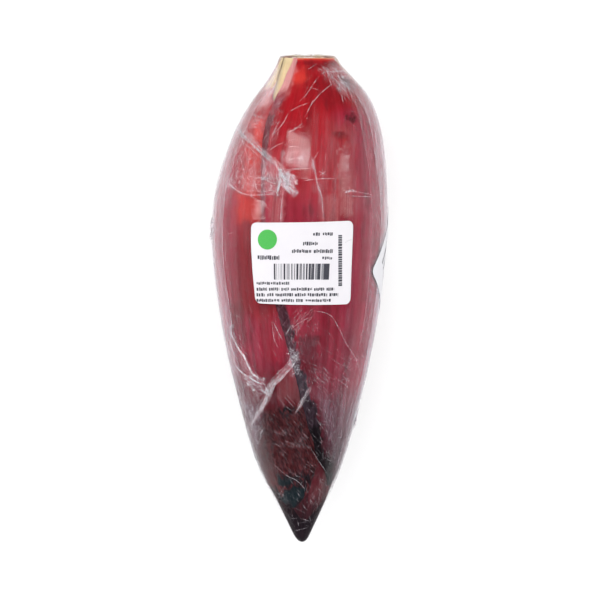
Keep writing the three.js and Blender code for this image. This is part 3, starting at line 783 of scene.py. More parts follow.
MAT["inner"] = bract_material("bract_skin_inner", [
    (0.05, (0.040, 0.008, 0.012)), (0.14, (0.11, 0.014, 0.022)), (0.3, (0.17, 0.015, 0.03)),
    (0.8, (0.40, 0.03, 0.03)), (1.0, (0.7, 0.4, 0.2))])
MAT["under"] = bract_material("bract_skin_under", [
    (0.0, (0.025, 0.010, 0.013)), (0.22, (0.07, 0.010, 0.018)), (0.45, (0.21, 0.012, 0.024)),
    (0.75, (0.34, 0.014, 0.028)), (0.95, (0.40, 0.03, 0.03)), (1.0, (0.52, 0.16, 0.09))])
MAT["heart"] = bract_material("bract_skin_heart", [
    (0.0, (0.012, 0.007, 0.008)), (0.06, (0.020, 0.008, 0.010)), (0.12, (0.045, 0.009, 0.012)), (0.2, (0.07, 0.010, 0.016)),
    (0.5, (0.20, 0.02, 0.03)), (1.0, (0.6, 0.3, 0.16))], gloss=0.5)

finish_piece(bract("bract_front_right", 163, 271, paint_front_right), MAT["right"], "bract_front_right", "bract_front_right")
finish_piece(bract("bract_front_left", 163, 271, paint_front_left), MAT["left"], "bract_front_left", "bract_front_left")
finish_piece(bract("bract_underside", 91, 184, paint_underside), MAT["under"], "bract_underside", "bract_underside")
finish_piece(bract("bract_inner_front", 100, 205, paint_inner_front), MAT["inner"], "bract_inner_front", "bract_inner_front")


# ------------------------------------------------------------------ heart and stem
def heart():
    N, rows = 150, 150
    end = 205.0
    s = np.concatenate([[0.35, 0.9, 1.6], 2.4 + (end - 2.4) * np.linspace(0, 1, rows - 3) ** 1.45])
    t = np.arange(N) * 360.0 / N
    S, T = np.meshgrid(s, t, indexing="ij")
    depth = (layer_depth(4, T, S) + 0.15) * smooth(-6, 24, S)
    # the closed inner bracts show as long overlapping leaves with shallow steps between them
    leaf = ((T / 360 * 3 + S / 210 + 0.15) % 1.0)
    step = 0.35 * (leaf - smooth(0.93, 1.0, leaf)) * smooth(3, 14, S)
    out = place(T, S, np.minimum(depth, 0.5 + half_width(S) * 0.5) - veins(T, S) * smooth(1, 8, S) - step)
    pole = place(np.array([0.0]), np.array([0.0]), np.array([0.08]))
    foot_s = BUD_LENGTH - 22 - 1.2
    caps, ct, cs = [], [], []
    mid = np.array([float(lean(foot_s)), 0, 0])
    base = on_bud(t, np.full(N, end)) - normal_at(t, np.full(N, end)) * (layer_depth(4, t, np.full(N, end)) + 0.15)[:, None]
    for f, y in ((0.86, foot_s - 1.1), (0.55, foot_s - 0.1)):
        p = base.copy()
        p[:, 1] = y
        m = mid.copy(); m[1] = y
        caps.append(settle(m + (p - m) * f, np.zeros(N)))
        ct.append(t); cs.append(np.full(N, end))
    top = settle(np.array([[mid[0], foot_s, 0.0]]), np.zeros(1))
    verts = np.concatenate([pole, out.reshape(-1, 3), *caps, top])
    R = len(s) + 2
    faces = [grid_faces(R, N, 1, True)]
    i = np.arange(N)
    faces.append(np.stack([np.zeros(N, int), 1 + (i + 1) % N, 1 + i], -1))
    last = 1 + (R - 1) * N
    faces.append(np.stack([last + i, last + (i + 1) % N, np.full(N, last + N)], -1))
    TT = np.concatenate([[0], T.ravel(), *ct, [0]])
    SS = np.concatenate([[0], S.ravel(), *cs, [end]])
    m = empty_marks(TT)
    px, py = seen(verts)
    n = PAINT.fbm(TT / 12, SS / 8, 3.0)
    m["dark"] = (1 - smooth(9, 26, SS + 5 * n)) * 0.9
    m["dusty"] = 0.5 * blob(px, py, 303, 530, 9, 16) * (np.abs((TT + 180) % 360 - 180) < 91)
    m["bud"] = bud_vector(TT, SS)
    m["s01"] = SS / BUD_LENGTH
    return make_mesh("petal_heart_bracts", verts, faces, m)


finish_piece(heart(), MAT["heart"], "heart_bracts", "heart_bracts")


def stem_material():
    g = Graph("cut_stem")
    r, a = g.attr("ring"), g.attr("spoke", True)
    fib = g.noise(g.mapped(a, (1.9, 1.9, 1.9)), detail=4.0, rough=0.65)
    fine = g.noise(g.mapped(a, (5.5, 5.5, 5.5)), detail=3.0, rough=0.6)
    wob = g.math("ADD", r, g.math("MULTIPLY", g.math("SUBTRACT", fib, 0.5), 0.12))
    colour = g.ramp(wob, [(0.0, (0.62, 0.50, 0.27)), (0.30, (0.74, 0.63, 0.36)), (0.42, (0.52, 0.34, 0.14)),
                          (0.47, (0.76, 0.66, 0.38)), (0.66, (0.72, 0.60, 0.33)), (0.72, (0.44, 0.24, 0.10)),
                          (0.78, (0.74, 0.60, 0.34)), (0.93, (0.60, 0.40, 0.20)), (1.0, (0.30, 0.08, 0.05))])
    spots = g.node("ShaderNodeTexVoronoi", {"Vector": a, "Scale": 1.15}).outputs["Distance"]
    colour = g.mix(g.span(spots, 0.16, 0.30, 0.75, 0.0), colour, (0.24, 0.13, 0.06))
    colour = g.mix(g.span(fib, 0.52, 0.74, 0.0, 0.7), colour, (0.30, 0.14, 0.06))
    colour = g.mix(g.span(fine, 0.3, 0.7, 0.0, 0.35), colour, (0.92, 0.84, 0.58))
    height = g.math("ADD", g.math("MULTIPLY", fib, 0.6), g.math("MULTIPLY", fine, 0.4))
    p = g.node("ShaderNodeBsdfPrincipled", {
        "Base Color": colour, "Roughness": g.span(fine, 0.3, 0.7, 0.42, 0.66), "Normal": g.bump(height, 0.0004, 0.9)})
    return g.surface(p.outputs[0])


def stem():
    N = 144
    t = np.arange(N) * 360.0 / N
    nz = Noise(31)
    mid = float(lean(BUD_LENGTH))
    rows, rings, spokes = [], [], []

    def deep(tt, s):
        return layer_depth(4, tt, s) + 0.45

    verts = [settle(np.array([[float(lean(220)), BUD_LENGTH - 22, 0.0]]), np.zeros(1))]
    ring_val, spoke = [1.0], [[0, 0, 0]]
    wide = float(half_width(BUD_LENGTH)) + 2.5
    for f, s in [(0.5, 209.3), (0.86, 210.4), (1, 213), (1, 216), (1, 219), (1, 222), (1, 225), (1, 227.5)]:
        S = np.full(N, s)
        p = on_bud(t, S) - normal_at(t, S) * deep(t, S)[:, None]
        m = np.array([float(lean(s)), s, 0.0])
        across = np.hypot(p[:, 0] - m[0], p[:, 2])
        scale = np.where(across > wide, wide / np.maximum(across, 1e-6), 1.0)
        p = m + (p - m) * (scale * f)[:, None]
        verts.append(settle(p, np.zeros(N)))
        ring_val += [1.0] * N
        spoke += list(np.stack([np.sin(t * RAD) * 13, np.cos(t * RAD) * 13, np.full(N, s)], -1))
    n_side = len(verts) - 1
    fs = np.concatenate([[1.0, 0.985], np.linspace(0.96, 0.04, 46)])
    for f in fs:
        d = deep(t, np.full(N, BUD_LENGTH))
        x, z = np.sin(t * RAD) * f * 12, np.cos(t * RAD) * f * 12
        groove = 0.0
        for rr, w, h in ((0.42, 0.02, 0.7), (0.70, 0.022, 0.8), (0.90, 0.018, 0.7)):
            wob = 0.02 * nz(np.sin(t * RAD) * 2 + 5, np.cos(t * RAD) * 2, rr * 7)
            groove = groove + h * np.exp(-((f - rr - wob) / w) ** 2)
        rel = 0.22 * nz.fbm(x / 1.2, z / 1.2, 0.3) + 0.35 * nz(x / 6, z / 6, 4.4) + 0.10 * nz(x / 0.35, z / 0.35, 2.0)
        below = 0.85 + np.clip(0.55 + groove - rel, 0.0, 2.0) * (1 if f < 0.99 else 0.4)
        verts.append(on_cut(t, f, d, below))
        ring_val += [float(f)] * N
        spoke += list(np.stack([x, z, np.zeros(N)], -1))
    top = on_cut(np.array([0.0]), 0.0, 0.0, 1.3)
    verts.append(top)
    ring_val.append(0.0)
    spoke.append([0, 0, 0])
    R = n_side + len(fs)
    faces = [grid_faces(R, N, 1, True)]
    i = np.arange(N)
    faces.append(np.stack([np.zeros(N, int), 1 + (i + 1) % N, 1 + i], -1))
    last = 1 + (R - 1) * N
    faces.append(np.stack([last + i, last + (i + 1) % N, np.full(N, last + N)], -1))
    return make_mesh("cut_stem", np.concatenate(verts), faces,
                     dict(ring=np.array(ring_val), spoke=np.array(spoke, float)))


finish_piece(stem(), stem_material(), "stem_core", "stem_core")

# ------------------------------------------------------------------ cling film
CRUMPLE = Noise(41)
TENSION = Noise(42)
LABEL_SPOTS = (FRONT_LABEL, SIDE_LABEL)


def label_coordinates(at, theta, s):
    """Millimetres across and up a label of a place on the bud."""
    R = float(half_width(at["s"]))
    c, d = math.cos(at["turn"] * RAD), math.sin(at["turn"] * RAD)
    off = (np.asarray(theta, float) - at["theta"] + 180) % 360 - 180
    u, v = off * R * RAD, s - at["s"]
    return u * c + v * d, -u * d + v * c


def under_label(theta, s, margin=1.2):
    m = np.zeros(np.broadcast(theta, s).shape)
    for at in LABEL_SPOTS:
        a, b = label_coordinates(at, theta, s)
        d = np.maximum(np.abs(a) - LABEL["w"] / 2, np.abs(b) - LABEL["h"] / 2)
        m = np.maximum(m, 1 - smooth(0, margin, d))
    return m


# outlines of the film's gathered places, as they lie in the picture
TRIANGLE = [(240, 128), (252, 138), (268, 155), (282, 172), (285, 196), (262, 197), (244, 193), (228, 184), (231, 160)]
SHOULDER = [(266, 88), (281, 92), (282, 112), (278, 134), (268, 150), (250, 138), (244, 124), (254, 106)]
TOP_RIGHT = [(318, 70), (334, 64), (346, 72), (356, 86), (352, 98), (342, 94), (330, 84)]
LOW_LEFT = [(224, 326), (233, 324), (244, 350), (254, 372), (270, 384), (268, 398), (256, 428), (246, 438), (236, 400), (228, 360)]
LOW_MIDDLE = [(262, 412), (300, 402), (316, 440), (322, 468), (304, 486), (274, 480), (262, 446)]
LOW_RIGHT = [(322, 392), (350, 376), (345, 420), (330, 470), (318, 452)]
WISPS = [(282, 304), (316, 304), (320, 330), (312, 372), (322, 400), (300, 404), (292, 376), (286, 340)]
SEAM_KNOT = [(287, 348), (299, 350), (300, 374), (291, 376)]
DARK_STRIP = [(304, 396), (320, 400), (328, 440), (336, 470), (322, 482), (312, 450)]
KNOT = [(279, 169), (287, 170), (297, 179), (297, 184), (293, 185), (298, 193), (294, 197), (287, 191), (281, 186), (278, 177)]
CALM = [(297, 148, 17, 30, 0), (259, 209.5, 11, 14, 0), (344, 159, 12, 17, 0)]

# ridges the film is drawn up into: points in the picture, half width px, height mm
RIDGES = [
    ([(236, 124), (245, 135), (261, 150), (274, 163), (282, 173)], 2.8, 0.50),
    ([(225, 180), (236, 189), (250, 195), (265, 195), (280, 193)], 2.2, 0.45),
    ([(231, 325), (239, 347), (248, 363), (256, 377), (268, 387)], 2.6, 0.55),
    ([(297, 356), (288, 368), (274, 383), (265, 403), (250, 430)], 3.4, 0.95),
    ([(313, 164), (317, 182), (320, 194), (324, 222)], 2.4, 0.20),
    ([(281, 188), (280.5, 224)], 2.0, 0.25),
    ([(320, 74), (333, 72), (345, 74), (354, 88)], 2.2, 0.18),
    ([(344, 192), (360, 194), (380, 197)], 2.0, 0.25),
    ([(300, 180.5), (336, 179)], 1.8, 0.20),
    ([(313, 384), (303, 400), (295, 414)], 2.2, 0.30),
    ([(338, 327), (356, 360), (361, 378)], 2.0, 0.20),
]


def film_masks(theta, s, px, py, front):
    """Where the film is crumpled, 0 to 1."""
    f = front.astype(float)
    c = 0.06 + 0 * theta
    for pts, v in ((TRIANGLE, 0.70), (SHOULDER, 0.40), (TOP_RIGHT, 0.30), (LOW_LEFT, 0.70), (LOW_MIDDLE, 0.26),
                   (LOW_RIGHT, 0.26), (SEAM_KNOT, 0.9)):
        c = np.maximum(c, f * v * polygon(px, py, pts, 5.0))
    c = np.maximum(c, f * blob(px, py, 289, 183, 11, 17, -20))
    c = np.maximum(c, f * 0.35 * blob(px, py, 298, 498, 26, 34))
    away = away_from_top(theta)
    c = np.maximum(c, 0.14 * smooth(52, 72, away))
    # round the sides and the back, long gathers and slack patches
    slack = smooth(-0.05, 0.55, WAVE(np.sin(theta * RAD) * 2.2 + 3, np.cos(theta * RAD) * 2.2, s / 28))
    c = np.maximum(c, smooth(94, 126, away) * (0.16 + 0.70 * slack))
    c = np.maximum(c, 0.6 * (1 - smooth(22, 60, s)) * smooth(88, 120, away))
    return c


def calm_places(px, py, front):
    m = np.zeros(px.shape)
    for args in CALM:
        m = np.maximum(m, smooth(0.05, 0.35, blob(px, py, *args)))
    return m * front


def gathers(theta, s):
    """Long ridges of drawn film round the back, running out from the places where it is gathered."""
    total = np.zeros(np.broadcast(theta, s).shape)
    for k, (t0, s0, reach, n) in enumerate(GATHERS):
        off = (np.asarray(theta, float) - t0 + 180) % 360 - 180
        u, v = off * RAD * 38, s - s0
        d = np.hypot(u, v)
        turn = np.arctan2(v, u)
        fan = CRUMPLE(np.cos(turn) * n / 3, np.sin(turn) * n / 3, 5.0 + k * 3 + d / 60)
        ray = np.clip(1 - np.abs(fan) * 3.2, 0, 1) ** 1.5
        total = np.maximum(total, ray * smooth(1.5, 7, d) * (1 - smooth(reach * 0.35, reach, d)))
    return total


GATHERS = [(118, 196, 62, 11.0), (-112, 178, 58, 9.0), (172, 120, 75, 12.0), (-150, 60, 55, 10.0), (96, 62, 52, 9.0),
           (-86, 150, 40, 8.0), (180, 214, 50, 12.0)]


def film_relief(theta, s, px=None, py=None, parts=False):
    """How far the film stands off the taut surface, in millimetres."""
    if px is None:
        px, py = seen(place(theta, s, np.zeros(np.broadcast(theta, s).shape)))
    front = away_from_top(theta) < 88
    v = bud_vector(theta, s)
    x, y, z = v[..., 0], v[..., 1], v[..., 2]
    crumple = film_masks(theta, s, px, py, front)
    calm = calm_places(px, py, front)
    crumple = crumple * (1 - calm)
    slow = 0.07 * TENSION(x / 13, y / 13, z / 26)
    taut = TENSION.ridged(x / 3.0 + z / 7.0, y / 3.0, z / 16 + 5, 2) * 0.10
    small = CRUMPLE.ridged(x / 5.0, y / 5.0, z / 6.5, 3) * 0.62
    fine = CRUMPLE.ridged(x / 2.1 + 4, y / 2.1, z / 2.6, 2) * 0.20
    out = slow * (1 - calm) + taut * (0.12 + 0.88 * crumple) * (1 - 0.7 * calm) + crumple * (small + fine - 0.15)
    ridge = np.zeros(out.shape)
    for pts, w, h in RIDGES:
        d, q = from_line(px, py, pts)
        ends = smooth(0, 0.12, q) * (1 - smooth(0.88, 1, q)) * 0.8 + 0.2
        ridge = np.maximum(ridge, 0.7 * h * np.exp(-(d / w) ** 2) * ends * front)
    back = smooth(92, 112, away_from_top(theta))
    ridge = np.maximum(ridge, 0.9 * gathers(theta, s) * back)
    flat = np.exp(-((px - 298) / 24) ** 4 - ((py - 152) / 34) ** 4) * front
    out = out + flat * 0.00123 * (px - 298) * (py - 152)
    out = (out + ridge) * (1 - 0.92 * under_label(theta, s)) * smooth(0, 3, s)
    out = np.clip(out, -0.22, 1.6)
    return (out, crumple, ridge) if parts else out


# where layers of film lie over each other, their free edges in the picture
FLAP_RIGHT = [(341, 78), (352, 90), (366.7, 116), (372.4, 139.5), (376, 165), (379, 189), (380.5, 225), (378, 270),
              (372, 320), (362, 372), (352, 410), (342, 440)]
FLAP_RIGHT_IN = [(338, 76), (347.6, 90), (357, 108), (361, 127), (365.7, 151), (368.6, 170), (370.5, 194), (371.5, 225),
                 (369, 270), (364, 320), (356, 360)]
FLAP_LEFT = [(268, 90), (255.5, 110), (246.7, 129), (239.3, 144.5), (233.2, 166), (229, 179.7), (225.4, 194.4),
             (223.8, 212.7), (223.2, 250), (229, 300), (236, 350), (246, 398)]


def film_haze_and_highlight(theta, s, px, py, front):
    """How milky the film is, 0 to 1: more wraps, trapped air and rubbed places, and painted highlight where the softbox
    is mirrored.
    """
    f = front.astype(float)
    away = away_from_top(theta)
    v = bud_vector(theta, s)
    n = CRUMPLE.fbm(v[..., 0] / 6, v[..., 1] / 6, v[..., 2] / 16, 3)
    long = TENSION.fbm(v[..., 0] / 2.6, v[..., 1] / 2.6, v[..., 2] / 60, 2)
    h = 0.003 + 0.008 * smooth(48, 64, away) + 0.045 * smooth(70, 88, away)
    # a faint bloom over the belly of the bud, clear near the cut
    bloom = smooth(112, 140, py) * (1 - 0.45 * smooth(215, 300, py)) * (1 - 0.7 * smooth(395, 435, py))
    side = 0.35 + 0.65 * smooth(296, 322, px) + 0.75 * (1 - smooth(238, 285, px))
    h = h + f * 0.026 * bloom * side * np.clip(1 + 0.6 * long, 0.3, 1.8)
    h = h + f * 0.030 * 0.7 * polygon(px, py, [(312, 112), (338, 116), (352, 130), (358, 170), (360, 220), (312, 220)], 9) * np.clip(1 + 0.6 * long, 0.3, 1.8)
    h = h + f * 0.010 * smooth(304, 330, py) * (1 - smooth(440, 480, py)) * np.clip(1 + 0.9 * long, 0.2, 2.2)
    h = h + f * 0.050 * smooth(366, 402, py) * (1 - smooth(455, 485, py)) * smooth(-1, 5, side_of(px, py, MARGIN_IN)) * (1 - 0.35 * smooth(334, 344, px) * (1 - smooth(405, 422, py)))
    for pts, v2, soft in ((TRIANGLE, 0.034, 5), ([(240, 168), (264, 166), (264, 196), (242, 194)], 0.050, 5), (SHOULDER, 0.018, 6), (TOP_RIGHT, 0.035, 4), (LOW_LEFT, 0.008, 5),
                          (SEAM_KNOT, 0.035, 3), ([(264, 148), (272, 152), (283, 170), (281, 181), (264, 180)], 0.065, 4),
                          ([(262, 195), (268, 195), (268, 224), (262, 224)], 0.06, 4),
                          ([(266, 80), (276, 66), (279, 70), (276, 90), (264, 104), (256, 106)], 0.32, 4),
                          ([(224, 176), (232, 176), (234, 188), (225, 188)], 0.16, 4),
                          ([(243, 377), (262, 379), (269, 390), (260, 392)], 0.07, 4),
                          ([(246, 404), (262, 408), (264, 446), (252, 446)], 0.05, 5)):
        h = h + f * v2 * polygon(px, py, pts, soft)
    # the blob at 298, 160.5 is painted highlight, the bright foot of the softbox's reflection
    for args, v2 in (((284, 178, 4, 9, -18), 0.30), ((298, 160.5, 14, 9, 0), 0.30), ((345, 168, 9, 16, 0), 0.03), ((345, 84, 8, 5, 40), 0.15), ((293, 362, 4.5, 11, -10), 0.17),
                     ((320, 184, 12, 12, 0), 0.05), ((316.5, 188, 6.5, 9, 0), 0.28), ((330, 330, 16, 30, 0), -0.01)):
        h = h + f * v2 * blob(px, py, *args)
    grain = CRUMPLE(v[..., 0] / 1.1, v[..., 1] / 1.1, v[..., 2] / 1.5)
    h = h + f * (0.53 + 0.12 * grain) * polygon(px, py, KNOT, 1.6)
    # long rubbed streaks down the middle
    h = h + f * 0.24 * streak(px, py, [(312, 156), (315, 171), (317, 183), (320, 196), (323, 221)], 2.6) * np.clip(1 + 0.8 * n, 0.4, 1.8)
    h = h + f * 0.14 * streak(px, py, [(281, 197), (281.5, 223)], 2.2)
    h = h + f * 0.040 * polygon(px, py, [(366, 212), (377, 212), (375, 302), (367, 302)], 4) * np.clip(1 + 0.8 * long, 0.2, 2)
    # painted highlight: the bright foot of the softbox's reflection
    h = h + f * 0.16 * polygon(px, py, [(281, 151), (311, 149), (311, 166), (281, 168)], 2.5)
    # a faint milky patch low on the right
    h = h + f * 0.05 * polygon(px, py, [(316, 404), (328, 402), (330, 424), (320, 426)], 4)
    # the layers at the sides
    d, q = from_line(px, py, FLAP_RIGHT_IN)
    h = h + f * 0.025 * (px > 330) * smooth(-1.2, 1.2, side_of(px, py, FLAP_RIGHT_IN)) * (1 - smooth(10, 16, d))
    h = h * np.clip(1 + 0.55 * n + 0.25 * long, 0.2, 2.2)
    h = h * (1 - 0.88 * f * polygon(px, py, [(266, 404), (302, 398), (320, 436), (332, 466), (322, 492), (276, 492), (260, 446)], 5))
    # the film lies close on the dark marks, and nothing dulls them
    for args in ((352, 118.5, 12, 8, 14), (342, 137, 13, 9, 20)):
        h = h * (1 - 0.85 * f * smooth(0.1, 0.6, blob(px, py, *args)))
    h = h * (1 - 0.85 * f * polygon(px, py, DARK_STRIP, 4))
    h = h * (1 - 0.40 * f * polygon(px, py, [(254, 98), (268, 94), (270, 114), (256, 116)], 4))
    h = h * (1 - 0.35 * f * polygon(px, py, [(229, 164), (241, 164), (241, 187), (230, 187)], 4))
    h = h * (1 - 0.30 * f * polygon(px, py, [(220, 192), (238, 192), (240, 222), (220, 222)], 5))
    h = h * (1 - 0.40 * f * polygon(px, py, [(226, 304), (246, 306), (252, 344), (238, 356), (230, 340)], 6))
    h = h * (1 - 0.55 * f * polygon(px, py, [(246, 128), (265, 122), (268, 146), (250, 150)], 4))
    h = h * (1 - 0.65 * f * polygon(px, py, [(297, 362), (314, 362), (317, 386), (303, 386)], 4))
    h = h * (1 - 0.50 * f * polygon(px, py, [(323, 440), (338, 438), (333, 470), (323, 466)], 4))
    # the pointed end shows almost bare
    h = h * (1 - 0.82 * smooth(478, 505, py) * f * (1 - smooth(60, 76, away)))
    return np.clip(h, 0, 0.95)


def film_worn(theta, s, px, py, front):
    """How scratched the film is, 0 to 1."""
    f = front.astype(float)
    away = away_from_top(theta)
    w = 0.02 + 0.07 * smooth(55, 80, away) + 0.10 * smooth(90, 120, away)
    w = w + f * 0.03 * smooth(300, 330, py) * (1 - smooth(440, 480, py))
    for pts, k, soft in ((TRIANGLE, 0.20, 4), (SHOULDER, 0.17, 5), (TOP_RIGHT, 0.16, 4), (LOW_LEFT, 0.12, 5), (LOW_MIDDLE, 0.05, 6),
                         (LOW_RIGHT, 0.06, 6), (SEAM_KNOT, 0.34, 3), (WISPS, 0.05, 6), ([(242, 374), (264, 378), (272, 391), (258, 394)], 0.22, 3)):
        w = np.maximum(w, f * k * polygon(px, py, pts, soft))
    w = w * (1 - 0.6 * f * smooth(-2, 3, -side_of(px, py, MARGIN_IN)) * polygon(px, py, [(258, 104), (290, 104), (280, 160), (260, 160)], 3))
    w = w * (1 - 0.85 * f * polygon(px, py, DARK_STRIP, 4)) * (1 - 0.8 * f * smooth(496, 520, py))
    w = w * (1 - 0.85 * blob(px, py, 316, 95, 22, 28) * f) * (1 - 0.5 * calm_places(px, py, front))
    return np.clip(w, 0, 1)


def film_material(name, gain=1.0):
    """Clear film over several wraps: see-through, glossy, milky where it is crumpled or rubbed, and white where painted
    highlight lies in its haze.
    """
    g = Graph(name)
    bud, haze, crumple = g.attr("bud", True), g.attr("haze"), g.attr("crumple")
    cling = g.attr("cling")
    streaks = g.noise(g.mapped(bud, (0.60, 0.60, 0.075)), detail=5.0, rough=0.58, distortion=0.3)
    flecks = g.noise(g.mapped(bud, (2.2, 2.2, 1.4)), detail=3.0, rough=0.65)
    cross = g.noise(g.mapped(bud, (0.5, 0.5, 2.6), turn=(0.35, 0.25, 0.2)), detail=4.0, rough=0.6, distortion=0.6)
    body = g.math("ADD", g.span(streaks, 0.38, 0.70, 0.55, 1.40), g.span(flecks, 0.55, 0.80, 0.0, 1.0))
    lines = g.math("MULTIPLY", g.span(cross, 0.56, 0.70, 0.0, 0.9), crumple)
    milk = g.math("MULTIPLY", haze, g.math("ADD", body, lines))

    def hairs(turn, scale, move, wide):
        """Long thin curved lines, where a stretched noise passes its middle value, broken by a second one."""
        v = g.turned(bud, turn)
        n = g.noise(g.mapped(v, scale, move=move), detail=1.5, rough=0.5, distortion=0.25)
        gap = g.noise(g.mapped(v, (0.35, 0.35, 0.12), move=(move[2], move[0], move[1])), detail=2.0)
        line = g.span(g.math("ABSOLUTE", g.math("SUBTRACT", n, 0.5)), wide * 0.35, wide, 1.0, 0.0)
        return g.math("MULTIPLY", line, g.span(gap, 0.44, 0.58, 0.0, 1.0))

    worn = g.attr("worn")
    scratch = g.math("MAXIMUM", g.math("MAXIMUM", hairs(44, (0.80, 0.5, 0.14), (1, 2, 3), 0.024), hairs(-36, (0.85, 0.5, 0.16), (4, 9, 2), 0.024)),
                     g.math("MAXIMUM", hairs(12, (0.95, 0.5, 0.11), (8, 3, 7), 0.022), hairs(72, (0.75, 0.5, 0.16), (2, 5, 11), 0.022)))
    scratch = g.math("MULTIPLY", scratch, g.span(flecks, 0.35, 0.65, 0.55, 1.0))
    milk = g.math("ADD", milk, g.math("MULTIPLY", scratch, worn))
    # a thin veil looks denser where it is seen at a slant
    slanted = g.node("ShaderNodeLayerWeight", {"Blend": 0.5}).outputs["Facing"]
    milk = g.math("MULTIPLY", milk, g.math("ADD", 0.62 * gain, g.math("MULTIPLY", slanted, 0.80 * gain)), clamp=True)
    height = g.math("MULTIPLY", g.math("ADD", g.math("MULTIPLY", streaks, 0.4), g.math("ADD", g.math(
        "MULTIPLY", flecks, 0.3), g.math("MULTIPLY", cross, 0.5))), g.math("ADD", crumple, 0.05))
    normal = g.bump(height, 0.0006, 0.7)
    clear = g.node("ShaderNodeBsdfTransparent", {"Color": (1, 1, 1, 1)})
    rough = g.span(flecks, 0.3, 0.8, 0.032, 0.09)
    shine = g.node("ShaderNodeBsdfGlossy", {"Color": (1, 1, 1, 1), "Roughness": rough, "Normal": normal})
    fres = g.node("ShaderNodeFresnel", {"IOR": 1.42, "Normal": normal}).outputs[0]
    much = g.math("MULTIPLY", fres, g.math("SUBTRACT", 1.0, g.math("MULTIPLY", cling, 0.92)), clamp=True)
    pane = g.node("ShaderNodeMixShader")
    g.put(pane.inputs[0], much)
    g.t.links.new(clear.outputs[0], pane.inputs[1])
    g.t.links.new(shine.outputs[0], pane.inputs[2])
    along = g.node("ShaderNodeSeparateXYZ", {"Vector": bud}).outputs[2]
    tint = g.ramp(g.span(along, 60, 170), [(0.0, (0.84, 0.755, 0.885)), (0.55, (0.84, 0.765, 0.87)), (1.0, (0.86, 0.77, 0.83))])
    white = g.node("ShaderNodeBsdfDiffuse", {"Color": tint, "Roughness": 0.6, "Normal": normal})
    both = g.node("ShaderNodeMixShader")
    g.put(both.inputs[0], milk)
    g.t.links.new(pane.outputs[0], both.inputs[1])
    g.t.links.new(white.outputs[0], both.inputs[2])
    return g.surface(both.outputs[0])


def film():
    N, M = 300, 310
    q = np.arange(N) / N
    t = 360 * q - (180 / math.pi) * 0.35 * np.sin(2 * math.pi * q)
    s = np.concatenate([[0.25, 0.6, 1.1, 1.7], np.linspace(2.4, 229.6, M)])
    S, T = np.meshgrid(s, t, indexing="ij")
    relief, crumple, _ = film_relief(T, S, parts=True)
    out = place(T, S, -relief)
    rings, rs = [], []
    nz = Noise(51)
    # the end is gathered over the cut in pleats that run in to a ragged mouth
    for f, below, dd in [(1.0, 0.7, 0), (0.985, 0.3, 0), (0.96, 0.08, 0), *[(x, 0.0, 1) for x in np.linspace(0.92, FILM_MOUTH, 14)],
                         (FILM_MOUTH - 0.02, 0.5, 2), (FILM_MOUTH + 0.01, 1.0, 2)]:
        ang = t * RAD
        pleat = nz.ridged(np.sin(ang) * 4.2, np.cos(ang) * 4.2, f * 0.7, 2)
        ff = f + (0.05 * nz(np.sin(ang) * 3.1, np.cos(ang) * 3.1, 9.0) * (1 - f) / 0.5 if dd else 0)
        up = pleat * (0.10 + 1.5 * (1 - f)) * (1 if dd else 0.3)
        rings.append(on_cut(t, ff, 0.0, below - up * (0.4 if dd == 2 else 1)))
        rs.append(np.full(N, BUD_LENGTH + (1 - f) * 13.0))
    pole = place(np.array([0.0]), np.array([0.0]), np.array([0.0]))
    verts = np.concatenate([pole, out.reshape(-1, 3), np.concatenate(rings)])
    R = len(s) + len(rings)
    faces = [grid_faces(R, N, 1, True)]
    i = np.arange(N)
    faces.append(np.stack([np.zeros(N, int), 1 + (i + 1) % N, 1 + i], -1))
    TT = np.concatenate([[0], T.ravel(), np.tile(t, len(rings))])
    SS = np.concatenate([[0], S.ravel(), np.concatenate(rs)])
    px, py = seen(verts)
    front = away_from_top(TT) < 91
    haze = film_haze_and_highlight(TT, np.minimum(SS, BUD_LENGTH), px, py, front & (SS <= BUD_LENGTH))
    haze = haze + 0.05 * smooth(BUD_LENGTH, BUD_LENGTH + 5, SS)
    crumple = np.concatenate([[0], crumple.ravel(), np.full(N * len(rings), 0.4)])
    bud = bud_vector(TT, SS)
    over = SS > BUD_LENGTH
    bud[over, :2] *= (1 - (SS[over, None] - BUD_LENGTH) / 20)
    u = np.concatenate([[0.5], np.tile(0.004 + 0.992 * q, R)])
    rowv = np.concatenate([[0.002], np.repeat(0.006 + 0.99 * np.arange(R) / R, N)])
    cling = 1 - smooth(10, 46, SS)
    worn = film_worn(TT, np.minimum(SS, BUD_LENGTH), px, py, front & (SS <= BUD_LENGTH))
    o = make_mesh("film_wrap", verts, faces, dict(haze=haze * (1 - 0.6 * cling * (1 - smooth(52, 76, away_from_top(TT)))), bud=bud, crumple=crumple, cling=cling, worn=worn), None)
    me = o.data
    loops = np.empty(len(me.loops), np.int32)
    me.loops.foreach_get("vertex_index", loops)
    uv = np.stack([u, rowv], -1)[loops]
    # the last column's far corners lie at the map's right side
    quads = (R - 1) * N
    lu = uv[:quads * 4].reshape(-1, 4, 2)
    last = (np.arange(quads) % N) == N - 1
    lu[last, 1, 0] = 0.996
    lu[last, 2, 0] = 0.996
    layer = me.uv_layers.new(name="OFBake", do_init=False)
    layer.uv.foreach_set("vector", uv.astype(np.float32).ravel())
    return o


MAT["film"] = film_material("cling_film_skin")
finish_piece(film(), MAT["film"], "cling_film", "cling_film")


